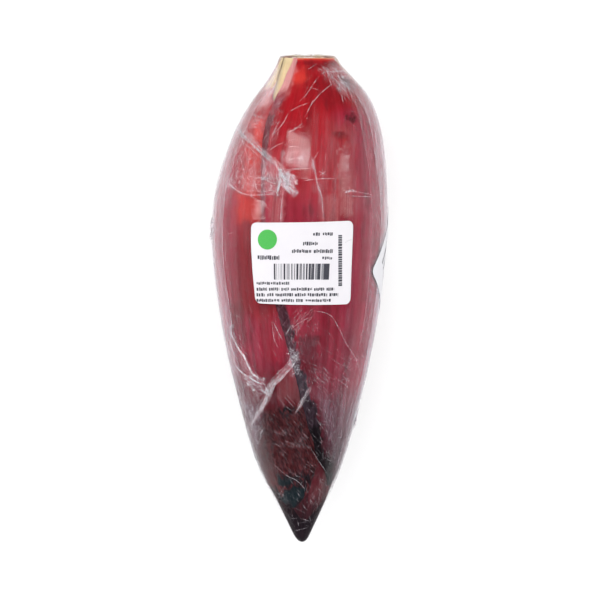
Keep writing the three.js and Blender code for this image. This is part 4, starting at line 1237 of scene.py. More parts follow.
# ------------------------------------------------------------------ creases in the film
def crease_material():
    g = Graph("cling_film_crease")
    bud, k = g.attr("bud", True), g.attr("strength")
    n = g.noise(g.mapped(bud, (0.55, 0.55, 0.55)), detail=3.0, rough=0.55)
    even = g.attr("even")
    broken = g.math("MULTIPLY", g.span(n, 0.34, 0.62, 0.35, 1.20), g.math("SUBTRACT", 1.0, even))
    fac = g.math("MULTIPLY", k, g.math("ADD", broken, even), clamp=True)
    clear = g.node("ShaderNodeBsdfTransparent", {"Color": (1, 1, 1, 1)})
    shine = g.node("ShaderNodeBsdfGlossy", {"Color": (1, 1, 1, 1), "Roughness": 0.2})
    white = g.node("ShaderNodeBsdfDiffuse", {"Color": (0.90, 0.83, 0.88, 1), "Roughness": 0.5})
    a = g.node("ShaderNodeMixShader", {"Fac": 0.14})
    g.t.links.new(white.outputs[0], a.inputs[1])
    g.t.links.new(shine.outputs[0], a.inputs[2])
    b = g.node("ShaderNodeMixShader")
    g.put(b.inputs[0], fac)
    g.t.links.new(clear.outputs[0], b.inputs[1])
    g.t.links.new(a.outputs[0], b.inputs[2])
    return g.surface(b.outputs[0])


THIN = ((-1, -0.12, 0.0), (0, 1.0, 1.0), (1, -0.12, 0.0))
SOFT = ((-1, -0.1, 0.0), (-0.45, 0.6, 0.65), (0, 1.0, 1.0), (0.45, 0.6, 0.65), (1, -0.1, 0.0))
BAND = ((-1, -0.15, 0.0), (-0.72, 0.55, 0.62), (-0.35, 0.80, 0.80), (0.0, 0.55, 0.64), (0.35, 0.75, 0.78),
        (0.74, 1.0, 0.95), (1, -0.15, 0.0))


class Creases:
    """Many small pleats of the film, each a low ridge that lies on it."""

    def __init__(self):
        self.groups = []

    def add(self, theta, s, width, height, strength, profile=THIN, taper=0.5, lift=0.02, crumple=0.0,
            even=0.0):
        """Ridges along places theta, s, arrays of [ridge, point]; the profile gives, across -1..1, shares of
        the height and the strength."""
        theta, s = np.atleast_2d(np.asarray(theta, float)), np.atleast_2d(np.asarray(s, float))
        L, m = theta.shape
        per = lambda v: np.broadcast_to(np.asarray(v, float).reshape(-1, 1) if np.ndim(v) == 1 and len(v) == L
                                        and L > 1 else np.asarray(v, float), (L, m))
        width, height, strength = per(width), per(height), per(strength)
        q = np.linspace(0, 1, m)[None, :]
        end = np.minimum(1, np.minimum(q, 1 - q) / max(taper, 1e-3))
        r = np.maximum(half_width(s), 2.0)
        du, dv = np.gradient(theta, axis=1) * RAD * r, np.gradient(s, axis=1)
        size = np.maximum(np.hypot(du, dv), 1e-9)
        su, sv = -dv / size, du / size
        V, K, B = [], [], []
        for c, h, k in profile:
            off = c * width / 2 * (0.30 + 0.70 * end)
            th = theta + su * off / r / RAD
            ss = np.clip(s + sv * off, 0.3, BUD_LENGTH - 1.2)
            rel = film_relief(th, ss)
            if crumple:
                p = bud_vector(th, ss)
                rel = rel + crumple * np.abs(CRUMPLE(p[..., 0] / 1.2, p[..., 1] / 1.2, p[..., 2] / 1.2))
            up = rel + lift + height * h * (0.3 + 0.7 * end)
            V.append(place(th, ss, -up))
            K.append(strength * k * end)
            B.append(bud_vector(th, ss))
        self.groups.append((np.stack(V, 2), np.stack(K, 2), np.stack(B, 2), even))

    def build(self, name, material):
        count = sum(len(g[0]) for g in self.groups)
        cells = math.ceil(math.sqrt(count))
        verts, faces, strength, bud, smoothness, uv, n, k = [], [], [], [], [], [], 0, 0
        for V, K, B, even in self.groups:
            L, m, C = V.shape[:3]
            verts.append(V.reshape(-1, 3))
            strength.append(K.ravel())
            bud.append(B.reshape(-1, 3))
            smoothness.append(np.full(K.size, even))
            one = grid_faces(m, C)[:, ::-1]
            faces.append((one[None] + (n + np.arange(L) * m * C)[:, None, None]).reshape(-1, 4))
            cell = k + np.arange(L)
            cu, cv = (cell % cells)[:, None, None], (cell // cells)[:, None, None]
            a = np.broadcast_to(np.linspace(0.08, 0.92, m)[None, :, None], (L, m, C))
            b = np.broadcast_to(np.linspace(0.08, 0.92, C)[None, None, :], (L, m, C))
            uv.append(np.stack([(cu + a) / cells, (cv + b) / cells], -1).reshape(-1, 2))
            n += L * m * C
            k += L
        o = make_mesh(name, np.concatenate(verts), [np.concatenate(faces)],
                      dict(strength=np.concatenate(strength), bud=np.concatenate(bud),
                           even=np.concatenate(smoothness)), np.concatenate(uv))
        return finish_piece(o, material, "cling_film")


def resample(points, count):
    """A smooth way through the points, as evenly spaced places."""
    p = np.asarray(points, float)
    d = np.concatenate([[0], np.cumsum(np.linalg.norm(np.diff(p, axis=0), axis=1))])
    q = np.linspace(0, d[-1], count)
    if len(p) == 2:
        return p[0] + (p[1] - p[0]) * (q / d[-1])[:, None]
    out = []
    for c in range(2):
        m = np.gradient(p[:, c], d)
        i = np.clip(np.searchsorted(d, q) - 1, 0, len(d) - 2)
        h = d[i + 1] - d[i]
        t = (q - d[i]) / h
        out.append((2 * t ** 3 - 3 * t ** 2 + 1) * p[i, c] + (t ** 3 - 2 * t ** 2 + t) * h * m[i]
                   + (3 * t ** 2 - 2 * t ** 3) * p[i + 1, c] + (t ** 3 - t ** 2) * h * m[i + 1])
    return np.stack(out, 1)


LINES = [
    # points in the picture, width mm (one or first and last), height mm, strength, profile
    ([(234, 121), (239.3, 127), (245.2, 135), (251, 139.3), (260.6, 149.6), (268.7, 157), (276, 164.3), (282, 172)], (3.6, 1.9), 0.45, 0.31, BAND),
    ([(232, 124), (240, 131), (250, 141), (262, 153), (274, 165)], (1.4, 0.8), 0.3, 0.42, SOFT),
    ([(231, 129), (240, 139), (252, 150), (264, 161), (277, 174)], (0.9, 0.6), 0.2, 0.30, THIN),
    ([(224.7, 179.7), (231.3, 185.6), (235.7, 189.2), (241.5, 192.9), (249.6, 195), (264.3, 194.7), (280, 193.5)], (1.1, 0.7), 0.26, 0.42, SOFT),
    ([(249.6, 195), (255.5, 198.8), (260, 200)], 0.7, 0.15, 0.30, THIN),
    ([(240.8, 157), (243, 167), (246, 175.3)], 0.7, 0.15, 0.42, THIN), ([(242.3, 139.3), (248, 158.4)], 0.6, 0.12, 0.38, THIN),
    ([(253.3, 173.8), (257.7, 192.9)], 0.6, 0.12, 0.36, THIN), ([(245.2, 177.5), (237, 184)], 0.6, 0.12, 0.36, THIN),
    ([(246, 175), (254, 166), (262, 160)], 0.6, 0.12, 0.34, THIN), ([(246, 175), (252, 184), (262, 194)], 0.7, 0.12, 0.36, THIN),
    ([(246, 175), (243, 186), (241, 193)], 0.6, 0.1, 0.30, THIN), ([(262, 152), (266, 172), (272, 193)], 0.6, 0.12, 0.30, THIN),
    ([(270, 158), (272, 176), (279, 193)], 0.6, 0.12, 0.34, THIN), ([(276, 165), (276.5, 180), (277.5, 194)], 0.8, 0.15, 0.42, THIN),
    ([(283, 172), (279.5, 183), (277.5, 194)], 1.4, 0.3, 0.62, SOFT),
    ([(283.4, 189), (281.9, 201.7), (280.4, 225)], (1.1, 0.8), 0.2, 0.50, THIN), ([(278.5, 200), (278, 222)], 0.6, 0.12, 0.26, THIN),
    ([(285, 169.5), (298, 168.8), (312, 168.6)], 0.8, 0.18, 0.55, THIN), ([(302, 181), (318, 179), (336, 178.6)], 0.8, 0.18, 0.46, THIN),
    ([(309.6, 151.3), (312.4, 161), (315.3, 173.3), (317.2, 184.8), (321, 194.4), (323, 213.5), (324.5, 222)], (0.8, 1.1), 0.20, 0.34, SOFT),
    ([(319, 151.3), (312.4, 161)], 0.8, 0.15, 0.48, THIN), ([(326, 153), (325, 161)], 0.5, 0.1, 0.32, THIN),
    ([(286, 148), (292, 146.5), (300, 147.5)], 0.7, 0.15, 0.46, THIN), ([(289, 153.5), (297, 151.5), (303, 152.5)], 0.6, 0.12, 0.34, THIN),
    ([(286.5, 160.5), (294, 158.5), (305, 159.5)], 0.9, 0.15, 0.40, THIN), ([(288, 141), (294, 139), (298, 139.5)], 0.6, 0.12, 0.36, THIN),
    ([(318, 171), (327, 175.5)], 0.9, 0.2, 0.48, THIN), ([(326.5, 170.5), (319, 176)], 0.7, 0.15, 0.36, THIN), ([(322, 168), (323, 180)], 0.6, 0.1, 0.3, THIN),
    ([(344, 193), (350, 191), (357, 191.5)], 1.9, 0.3, 0.46, SOFT), ([(344, 195.5), (362, 196.5), (380, 197)], 0.7, 0.15, 0.40, THIN),
    ([(354, 191.5), (368, 194), (379.4, 196.3)], 0.6, 0.12, 0.30, THIN),
    ([(363, 121.6), (379, 122.8)], 0.6, 0.12, 0.42, THIN),
    ([(319.5, 75.4), (312, 86), (306, 95), (296.5, 104)], 0.7, 0.15, 0.42, THIN),
    ([(309.3, 102.8), (300, 106), (289.5, 111.8)], 0.7, 0.15, 0.48, THIN),
    ([(332.3, 83.7), (320, 94), (311.2, 104.8), (305, 117)], 0.8, 0.18, 0.46, THIN),
    ([(317.6, 63.3), (307.4, 69.7)], 0.6, 0.1, 0.35, THIN), ([(311, 105), (313, 100)], 0.8, 0.1, 0.5, THIN),
    ([(319.5, 75.4), (325.3, 72.2), (333, 72), (342.5, 71.6), (349, 75.4)], 0.9, 0.22, 0.55, THIN),
    ([(289.2, 111.5), (283.4, 123.2), (276, 132), (270, 136.4)], 0.8, 0.18, 0.52, THIN),
    ([(281, 119.5), (277, 126), (273.8, 134.2)], 0.6, 0.12, 0.42, THIN),
    ([(303, 123), (293.6, 129.8), (286.3, 132.7)], 0.8, 0.15, 0.52, THIN), ([(303, 127), (296, 128), (290, 133)], 0.6, 0.12, 0.42, THIN),
    ([(284.8, 142.3), (276, 146), (268.7, 151)], 0.7, 0.15, 0.48, THIN),
    ([(300, 132.5), (312, 133.5)], 0.5, 0.1, 0.32, THIN),
    ([(302.8, 308.9), (293.3, 319)], 0.6, 0.12, 0.36, THIN), ([(309.2, 317.2), (299, 323), (289.4, 330.6)], 0.6, 0.12, 0.36, THIN),
    ([(308.6, 310.8), (322.6, 312.1), (330.3, 315.3), (338, 326.8), (345, 341.5), (356, 360), (361, 378)], 0.7, 0.15, 0.34, THIN),
    ([(314.3, 369.5), (316.2, 375.9), (327, 384.8)], 0.7, 0.15, 0.30, THIN),
    ([(273, 320.8), (278, 331.6), (283, 340.7)], 0.9, 0.2, 0.52, THIN), ([(271.8, 320), (275.5, 342.3), (278.8, 349)], 0.6, 0.15, 0.44, THIN),
    ([(231.2, 326.6), (234, 337.4), (239, 347.3), (243.2, 353.1), (248.2, 363), (252.5, 371.7), (262, 380)], (1.5, 2.2), 0.35, 0.95, SOFT),
    ([(230, 326), (228, 331), (229, 345), (232.4, 356.4)], 0.8, 0.2, 0.42, THIN),
    ([(230, 334.9), (233.5, 352), (239.9, 370.5), (248.2, 376.3), (254.8, 380.5), (266, 385)], (1.0, 1.8), 0.28, 0.80, SOFT),
    ([(228.5, 326), (233, 331), (230.5, 338)], 1.0, 0.2, 0.50, THIN),
    ([(298.5, 352), (294.5, 360), (288, 368), (279.7, 377.2), (273, 383), (268.9, 392.9), (264.8, 402.9), (259, 413.6), (249, 431)], (3.2, 1.9), 0.55, 0.46, BAND),
    ([(300, 356), (292, 366), (284, 374), (276, 382), (271, 393), (266, 404), (261, 414)], (0.9, 0.6), 0.3, 0.45, THIN),
    ([(293, 355), (286, 365), (277, 374), (270, 382), (265, 392)], (0.8, 0.6), 0.3, 0.45, THIN),
    ([(312.6, 384), (304, 398), (294.8, 414.5)], (1.8, 1.2), 0.2, 0.36, BAND),
    ([(283.8, 396.2), (294.6, 407.8)], 0.5, 0.1, 0.32, THIN), ([(286, 394), (296, 405)], 0.5, 0.1, 0.26, THIN), ([(278, 398), (291, 411)], 0.5, 0.1, 0.3, THIN),
    ([(310, 447), (318, 460), (328, 474)], 0.5, 0.1, 0.36, THIN), ([(285, 475), (296, 480), (306, 490)], 0.7, 0.15, 0.42, THIN),
    ([(272, 462), (285, 474), (300, 482)], 0.5, 0.1, 0.32, THIN), ([(276, 506), (280, 494), (286, 484)], 0.6, 0.12, 0.26, THIN),
    ([(294, 531), (302, 529), (309, 527)], 0.6, 0.12, 0.30, THIN),
    ([(222.5, 310), (224, 318), (227.4, 325)], 1.6, 0.2, 0.40, SOFT),
]


def families(c):
    """The many fine scratches and strands, placed by fixed seeds."""
    rng = np.random.RandomState(5)
    m = 9

    def strokes(start, turn, length, bend):
        """Points of curved strokes: [stroke, point, 2]."""
        k = np.linspace(-0.5, 0.5, m)[None, :]
        a = turn[:, None] + bend[:, None] * k
        step = np.stack([np.cos(a), np.sin(a)], -1) * (length / (m - 1))[:, None, None]
        path = np.cumsum(step, 1)
        return start[:, None, :] + path - path[:, m // 2][:, None, :]

    def common(n, length, width, strength, bend=0.5):
        return (rng.uniform(*length, n), rng.normal(0, bend, n), rng.uniform(*width, n),
                rng.uniform(*strength, n) * rng.uniform(0.5, 1, n))

    picture = []

    def in_outline(n, outline, turn, spread, length, width, strength, cross=0.0, bend=0.5):
        """n strokes in an outline of the picture; turn in degrees from +x, down positive."""
        pts = np.asarray(outline, float)
        lo, hi = pts.min(0), pts.max(0)
        got = np.zeros((0, 2))
        while len(got) < n:
            p = rng.uniform(lo, hi, (n * 3, 2))
            got = np.concatenate([got, p[polygon(p[:, 0], p[:, 1], pts, 1.0) > 0.5]])[:n]
        a = (turn + rng.normal(0, spread, n) + np.where(rng.rand(n) < cross, 90, 0)) * RAD
        ln, bd, w, k = common(n, length, width, strength, bend)
        picture.append((strokes(got, a, ln, bd), w, k))

    in_outline(100, SHOULDER, 122, 14, (7, 22), (0.26, 0.45), (0.06, 0.30))
    in_outline(26, [(250, 114), (264, 112), (264, 127), (250, 130)], 10, 10, (6, 14), (0.32, 0.48), (0.14, 0.38))
    in_outline(120, TRIANGLE, 60, 45, (5, 22), (0.26, 0.42), (0.14, 0.62))
    in_outline(26, [(262, 158), (284, 172), (284, 196), (264, 196)], 75, 18, (8, 26), (0.35, 0.6), (0.18, 0.50))
    in_outline(110, TOP_RIGHT, 54, 12, (6, 18), (0.24, 0.36), (0.35, 1.0))
    in_outline(48, [(336, 74), (347, 77), (354, 90), (344, 88)], 56, 24, (4, 13), (0.26, 0.40), (0.40, 0.95))
    in_outline(20, [(338, 82), (350, 82), (352, 98), (342, 100)], 68, 10, (7, 15), (0.4, 0.6), (0.3, 0.65))
    in_outline(9, [(302, 62), (334, 64), (336, 96), (302, 96)], 128, 12, (10, 26), (0.25, 0.40), (0.12, 0.32))
    in_outline(60, [(216, 150), (240, 118), (246, 128), (233, 180), (226, 225), (213, 225)], 106, 14, (8, 34), (0.26, 0.46), (0.14, 0.55), bend=0.25)
    in_outline(14, [(372, 130), (378, 130), (388, 200), (388, 225), (380, 225)], 82, 10, (8, 30), (0.26, 0.42), (0.10, 0.40), bend=0.2)
    in_outline(110, LOW_LEFT, 62, 30, (5, 20), (0.26, 0.45), (0.06, 0.32), 0.2)
    in_outline(110, [(242, 374), (264, 378), (271, 391), (255, 397)], 28, 40, (3, 10), (0.35, 0.7), (0.30, 0.85))
    in_outline(60, [(227, 324), (236, 324), (247, 352), (262, 380), (250, 378), (236, 352)], 62, 22, (4, 12), (0.35, 0.6), (0.25, 0.75))
    in_outline(70, [(296, 350), (299, 354), (272, 388), (262, 412), (250, 434), (247, 428), (266, 386)], 128, 40, (2, 6), (0.3, 0.6), (0.12, 0.5))
    in_outline(34, [(246, 400), (268, 396), (262, 440), (250, 436)], 115, 15, (8, 26), (0.35, 0.6), (0.15, 0.45))
    in_outline(130, LOW_MIDDLE, 44, 9, (4, 16), (0.24, 0.34), (0.08, 0.34), 0.12)
    in_outline(34, [(266, 420), (300, 414), (308, 444), (280, 456)], 42, 9, (6, 18), (0.24, 0.36), (0.08, 0.34))
    in_outline(80, LOW_RIGHT, 58, 22, (7, 26), (0.26, 0.42), (0.08, 0.36), 0.2)
    in_outline(20, [(312, 366), (350, 350), (350, 400), (322, 400)], 40, 8, (12, 34), (0.28, 0.45), (0.10, 0.30))
    in_outline(90, SEAM_KNOT, 60, 70, (2, 6), (0.32, 0.6), (0.30, 0.85))
    in_outline(40, [(286, 322), (300, 318), (298, 350), (288, 350)], 80, 25, (3, 12), (0.28, 0.45), (0.10, 0.45))
    in_outline(46, [(290, 306), (318, 306), (306, 326), (286, 334)], 128, 10, (8, 26), (0.26, 0.42), (0.10, 0.34))
    in_outline(40, [(298, 328), (318, 322), (322, 356), (300, 360)], 55, 35, (4, 16), (0.26, 0.42), (0.08, 0.30))
    in_outline(60, [(296, 366), (308, 366), (318, 404), (312, 404), (302, 398)], 68, 28, (2, 8), (0.26, 0.42), (0.10, 0.42))
    in_outline(34, [(300, 352), (326, 366), (330, 392), (312, 386)], 40, 14, (6, 20), (0.26, 0.42), (0.08, 0.30))
    in_outline(44, [(270, 478), (320, 474), (322, 496), (306, 530), (292, 522)], 50, 45, (4, 14), (0.28, 0.45), (0.12, 0.50))
    in_outline(18, [(306, 480), (326, 478), (322, 498), (308, 510)], 70, 30, (4, 12), (0.3, 0.5), (0.16, 0.50))
    in_outline(16, [(300, 398), (322, 398), (330, 460), (316, 468)], 45, 35, (4, 11), (0.25, 0.40), (0.12, 0.40))
    in_outline(10, [(312, 112), (362, 112), (368, 214), (312, 214)], 92, 4, (14, 50), (0.8, 1.8), (0.02, 0.06), bend=0.1)
    in_outline(34, [(238, 104), (300, 66), (350, 70), (384, 150), (384, 215), (216, 215)], 40, 50, (10, 34), (0.25, 0.40), (0.08, 0.28))
    in_outline(34, [(216, 306), (380, 306), (356, 380), (340, 440), (262, 440), (240, 390)], 50, 40, (10, 34), (0.25, 0.40), (0.08, 0.28))
    in_outline(20, [(236, 306), (290, 306), (290, 372), (262, 376), (244, 340)], 82, 8, (10, 34), (0.25, 0.5), (0.06, 0.22), bend=0.15)
    in_outline(34, [(213, 225), (232, 225), (240, 330), (222, 330)], 80, 35, (4, 16), (0.3, 0.5), (0.12, 0.42), 0.3)

    P = np.concatenate([p for p, _, _ in picture])
    W = np.concatenate([w for _, w, _ in picture])
    K = np.concatenate([k for _, _, k in picture])
    t, s = under(P[..., 0].ravel(), P[..., 1].ravel())
    t, s = t.reshape(P.shape[:2]), s.reshape(P.shape[:2])
    out = under_label(t, s, 0.1).max(1) < 0.5
    keep = out & (np.abs(np.diff(t, axis=1)).max(1) < 14)
    c.add(t[keep], s[keep], W[keep], W[keep] * 0.35, K[keep])

    def round_bud(n, theta, s_range, turn, spread, length, width, strength, cross=0.0, bend=0.4):
        """n strokes over a range of the bud; turn 90 runs along it. Lengths in millimetres."""
        p = np.stack([rng.uniform(*theta, n), rng.uniform(*s_range, n)], -1)
        r = np.maximum(half_width(p[:, 1]), 4)
        a = (turn + rng.normal(0, spread, n) + np.where(rng.rand(n) < cross, 90, 0)) * RAD
        ln, bd, w, k = common(n, length, width, strength, bend)
        q = strokes(np.zeros((n, 2)), a, ln, bd)
        t, s = p[:, :1] + q[..., 0] / r[:, None] / RAD, p[:, 1:] + q[..., 1]
        ok = (s.min(1) > 3) & (s.max(1) < 229) & (under_label(t, s, 0.1).max(1) < 0.5)
        c.add(t[ok], s[ok], w[ok], w[ok] * 0.4, k[ok])

    round_bud(60, (-84, -54), (40, 205), 88, 6, (8, 34), (0.4, 0.8), (0.12, 0.42))
    round_bud(60, (58, 84), (40, 205), 92, 6, (8, 34), (0.4, 0.8), (0.12, 0.40))
    round_bud(260, (84, 276), (20, 222), 90, 22, (8, 44), (0.4, 1.1), (0.10, 0.45))
    round_bud(200, (84, 276), (14, 222), 20, 25, (5, 22), (0.3, 0.8), (0.10, 0.40))
    round_bud(90, (80, 280), (8, 70), 75, 30, (4, 16), (0.3, 0.7), (0.15, 0.50), 0.2)

    # strands that run out from where the film is gathered
    for t0, s0, reach, n in GATHERS:
        k = int(n * 4)
        a = rng.uniform(0, 2 * math.pi, k)
        a0, ln = rng.uniform(2, 8, k), rng.uniform(0.25, 0.95, k) * reach
        d = a0[:, None] + np.linspace(0, 1, m)[None, :] * ln[:, None]
        a = a[:, None] + rng.normal(0, 0.12, k)[:, None] * np.linspace(0, 1, m)[None, :]
        s = s0 + d * np.sin(a)
        t = t0 + d * np.cos(a) / 38 / RAD
        ok = (s.min(1) > 4) & (s.max(1) < 228) & (away_from_top(t).min(1) > 78) & (under_label(t, s, 0.1).max(1) < 0.5)
        w = rng.uniform(0.5, 1.3, k)
        c.add(t[ok], s[ok], w[ok], w[ok] * 0.4, rng.uniform(0.2, 0.6, k)[ok])
        w = rng.uniform(0.6, 1.4, 26)
        p = rng.normal(0, 3.0, (26, 2))
        q = strokes(p, rng.uniform(0, math.pi, 26), rng.uniform(3, 9, 26), rng.normal(0, 1.2, 26))
        t, s = t0 + q[..., 0] / 38 / RAD, s0 + q[..., 1]
        ok = (s.max(1) < 228) & (under_label(t, s, 0.1).max(1) < 0.5)
        c.add(t[ok], s[ok], w[ok], w[ok] * 0.9, rng.uniform(0.35, 0.8, 26)[ok])


def knot(c):
    """The bunched film over the seam: folded ribbons that cross, with splintered ends."""
    rng = np.random.RandomState(9)
    ways = [
        ([(280, 169.5), (282.5, 175), (285, 181), (287, 186)], 2.4, 0.8, 0.80), ([(283, 171), (287, 174), (291, 176), (295, 180)], 2.2, 0.7, 0.50),
        ([(286, 184), (289, 187.5), (292, 190), (295.5, 194.5)], 1.7, 0.8, 0.90), ([(285, 181), (289, 184), (293, 186), (296, 188.5)], 1.6, 0.7, 0.85),
        ([(284, 184), (286.5, 188.5), (289.5, 192), (291.5, 194.5)], 1.4, 0.7, 0.80), ([(282, 178), (281, 184), (278.5, 189.5), (277.5, 194)], 1.3, 0.5, 0.62),
        ([(287, 176), (289, 180), (291, 184)], 1.8, 0.9, 0.62), ([(291, 172.5), (293.5, 177), (295, 182)], 1.2, 0.5, 0.45),
        ([(281, 173), (284.5, 178.5), (288, 183)], 1.6, 1.0, 0.85), ([(280, 186), (284, 184.5), (288, 185)], 1.1, 0.6, 0.70)]
    for pts, w, h, k in ways:
        p = resample(pts, 14)
        t, s = under(p[:, 0], p[:, 1])
        c.add(t, s, w, h, 0.44 * k, SOFT, 0.22, 0.10, 0.35, 0.5)
    for _ in range(64):
        a, b = rng.uniform(0, 1) ** 0.9, rng.uniform(2.2, 6.5)
        x, y = 279.0 + 12 * a + rng.normal(0, 1.7), 169.5 + 18 * a + rng.normal(0, 1.9)
        turn = math.radians(rng.choice([50, 56, 44, 62, 100, 15]) + rng.normal(0, 10))
        p = resample([(x, y), (x + b * math.cos(turn), y + b * math.sin(turn))], 6)
        t, s = under(p[:, 0], p[:, 1])
        c.add(t, s, rng.uniform(0.26, 0.60), rng.uniform(0.3, 0.8), rng.uniform(0.15, 0.60), THIN, 0.35, 0.2, 0.3, 0.3)


def ribbon(c, p, wide, height, k):
    """A fold the film is drawn up into: one soft fold, and the fine pleats that run along it."""
    rng = np.random.RandomState(int(p[0, 0] * 7 + p[0, 1]))
    t, s = under(p[:, 0], p[:, 1])
    c.add(t, s, wide[None, :], height, 0.52 * k * (1 + 0.5 * CRUMPLE(p[:, 0] / 5, p[:, 1] / 5, 2.0))[None, :], BAND, 0.16, 0.03, 0.12, 0.45)
    way = np.gradient(p, axis=0)
    way = np.stack([-way[:, 1], way[:, 0]], -1) / np.linalg.norm(way, axis=1)[:, None]
    n = np.arange(len(p))
    for _ in range(int(8 + 6 * wide.max())):
        a = rng.uniform(0, 0.62)
        i = np.linspace(a, min(1.0, a + rng.uniform(0.22, 0.6)), 12) * (len(p) - 1)
        off = rng.uniform(-0.62, 0.58) * np.interp(i, n, wide) * 2.13 + np.linspace(0, rng.normal(0, 0.8), 12)
        q = np.stack([np.interp(i, n, p[:, j]) + np.interp(i, n, way[:, j]) * off for j in (0, 1)], -1)
        t, s = under(q[:, 0], q[:, 1])
        c.add(t, s, rng.uniform(0.24, 0.42), 0.22, rng.uniform(0.35, 1.15) * k, THIN, 0.35, 0.10, 0.0, 0.35)


def strands(c):
    """Strands of film that run from the knot over the corner to its left."""
    rng = np.random.RandomState(37)
    for _ in range(34):
        a = np.array([282 - abs(rng.normal(0, 2.0)), rng.uniform(173, 193)])
        b = np.array([rng.uniform(226, 264), rng.uniform(160, 196)])
        q = np.linspace(0, 1, 14)[:, None]
        bow = np.array([rng.normal(0, 1.2), rng.normal(0, 2.0)])
        p = a + (b - a) * q * rng.uniform(0.45, 1.0) + bow * np.sin(math.pi * q)
        t, s = under(p[:, 0], p[:, 1])
        c.add(t, s, rng.uniform(0.26, 0.46), 0.15, rng.uniform(0.12, 0.42), THIN, 0.4, 0.05, 0.0, 0.2)


def edges(c):
    """The free edges of the film's overlapping layers."""
    for line, k in ((FLAP_RIGHT, 0.30), (FLAP_RIGHT_IN, 0.20), (FLAP_LEFT, 0.34)):
        p = resample(line, 90)
        t, s = under(p[:, 0], p[:, 1])
        c.add(t, s, 0.55, 0.10, k, THIN, 0.06, 0.12)


def creases():
    c = Creases()
    for pts, w, h, k, prof in LINES:
        length = np.linalg.norm(np.diff(np.array(pts, float), axis=0), axis=1).sum()
        p = resample(pts, max(7, int(length / 2.6)))
        t, s = under(p[:, 0], p[:, 1])
        if isinstance(w, tuple) and prof is not BAND:
            w = np.linspace(w[0], w[1], len(t))[None, :]
        if prof is BAND:
            ribbon(c, p, np.linspace(w[0], w[1], len(p)), h, k)
            continue
        fainter = 0.72 if prof is THIN else 0.80
        c.add(t, s, np.asarray(w) * (0.8 if prof is THIN else 0.9), h, k * fainter, prof, 0.14, 0.03)
    knot(c)
    strands(c)
    families(c)
    edges(c)
    return c


CREASES = creases()
CREASES.build("film_creases", crease_material())


def flap(line, far, rows, cols, lift, haze, seed):
    """A further layer of film from a free edge, given by a line of the picture, round to the bud's far side."""
    nz = Noise(seed)
    p = resample(line, rows)
    t0, s0 = under(p[:, 0], p[:, 1])
    q = np.linspace(0, 1, cols)[None, :]
    ends = np.minimum(np.linspace(0, 1, rows), np.linspace(1, 0, rows))
    wide = smooth(0, 0.10, ends)[:, None]
    T = t0[:, None] + (far - t0[:, None]) * (q ** 1.2) * (0.25 + 0.75 * wide)
    S = np.broadcast_to(s0[:, None], T.shape)
    v = bud_vector(T, S)
    curl = 0.22 * np.clip(nz(v[..., 0] / 7, v[..., 1] / 7, v[..., 2] / 9), 0, 1) * (1 - smooth(0, 0.10, q))
    up = film_relief(T, S) + lift * (1 - smooth(0.75, 1.0, q)) + curl
    verts = place(T, S, -up).reshape(-1, 3)
    n = nz.fbm(v[..., 0] / 5, v[..., 1] / 5, v[..., 2] / 26, 3)
    k = haze * np.clip(1 + 0.6 * n, 0.2, 2.0) * (1 - smooth(0.6, 0.98, q)) * wide
    k = k * (1 + 0.5 * smooth(60, 84, away_from_top(T))) * (1 - 0.50 * (1 - smooth(78, 125, S)))
    _, crumple, _ = film_relief(T, S, parts=True)
    return verts, k.ravel(), v.reshape(-1, 3), np.clip(crumple.ravel() + 0.1, 0, 1)


def overlaps():
    verts, haze, bud, crumple, faces, uv, n = [], [], [], [], [], [], 0
    todo = [(FLAP_RIGHT, 150, 170, 46, 0.13, 0.155, 61), (FLAP_RIGHT_IN, 140, 150, 40, 0.07, 0.022, 62),
            (FLAP_LEFT, -150, 170, 46, 0.13, 0.12, 63)]
    for k, (line, far, rows, cols, lift, hz, seed) in enumerate(todo):
        v, h, b, cr = flap(line, far, rows, cols, lift, hz, seed)
        f = grid_faces(rows, cols, n)
        faces.append(f[:, ::-1] if far > 0 else f)
        verts.append(v); haze.append(h); bud.append(b); crumple.append(cr)
        a, c = np.meshgrid(np.linspace(0.01, 0.99, rows), np.linspace(0.02, 0.98, cols), indexing="ij")
        uv.append(np.stack([a, (k + c) / len(todo)], -1).reshape(-1, 2))
        n += rows * cols
    o = make_mesh("film_overlaps", np.concatenate(verts), faces, dict(
        haze=np.concatenate(haze), bud=np.concatenate(bud), crumple=np.concatenate(crumple), cling=np.zeros(n), worn=np.full(n, 0.16)), np.concatenate(uv))
    return finish_piece(o, MAT["film"], "cling_film")


overlaps()


# ------------------------------------------------------------------ labels
def label_place(at, a, b, up):
    R = float(half_width(at["s"]))
    c, d = math.cos(at["turn"] * RAD), math.sin(at["turn"] * RAD)
    theta = at["theta"] + (a * c - b * d) / R / RAD
    s = at["s"] + a * d + b * c
    wave = 0.05 * WAVE(a / 7, b / 7, at["s"]) + 0.02 * WAVE(a / 2.5, b / 2.5, 3)
    return place(theta, s, -(up + 0.09 + wave))


def paper_material(name, tint):
    g = Graph(name)
    a = g.attr("sheet", True)
    fibre = g.noise(g.mapped(a, (1.6, 2.6, 1.0)), detail=5.0, rough=0.7)
    cloud = g.noise(g.mapped(a, (0.10, 0.10, 0.10)), detail=2.0)
    colour = g.mix(g.span(fibre, 0.3, 0.7, 0.0, 1.0), (tint[0] * 0.965, tint[1] * 0.965, tint[2] * 0.97), tint)
    colour = g.mix(g.span(cloud, 0.4, 0.7, 0.0, 0.35), colour, (tint[0] * 0.93, tint[1] * 0.925, tint[2] * 0.95))
    p = g.node("ShaderNodeBsdfPrincipled", {
        "Base Color": colour, "Roughness": g.span(fibre, 0.3, 0.7, 0.42, 0.58),
        "Normal": g.bump(fibre, 0.00004, 0.5), "Specular IOR Level": 0.3})
    return g.surface(p.outputs[0])


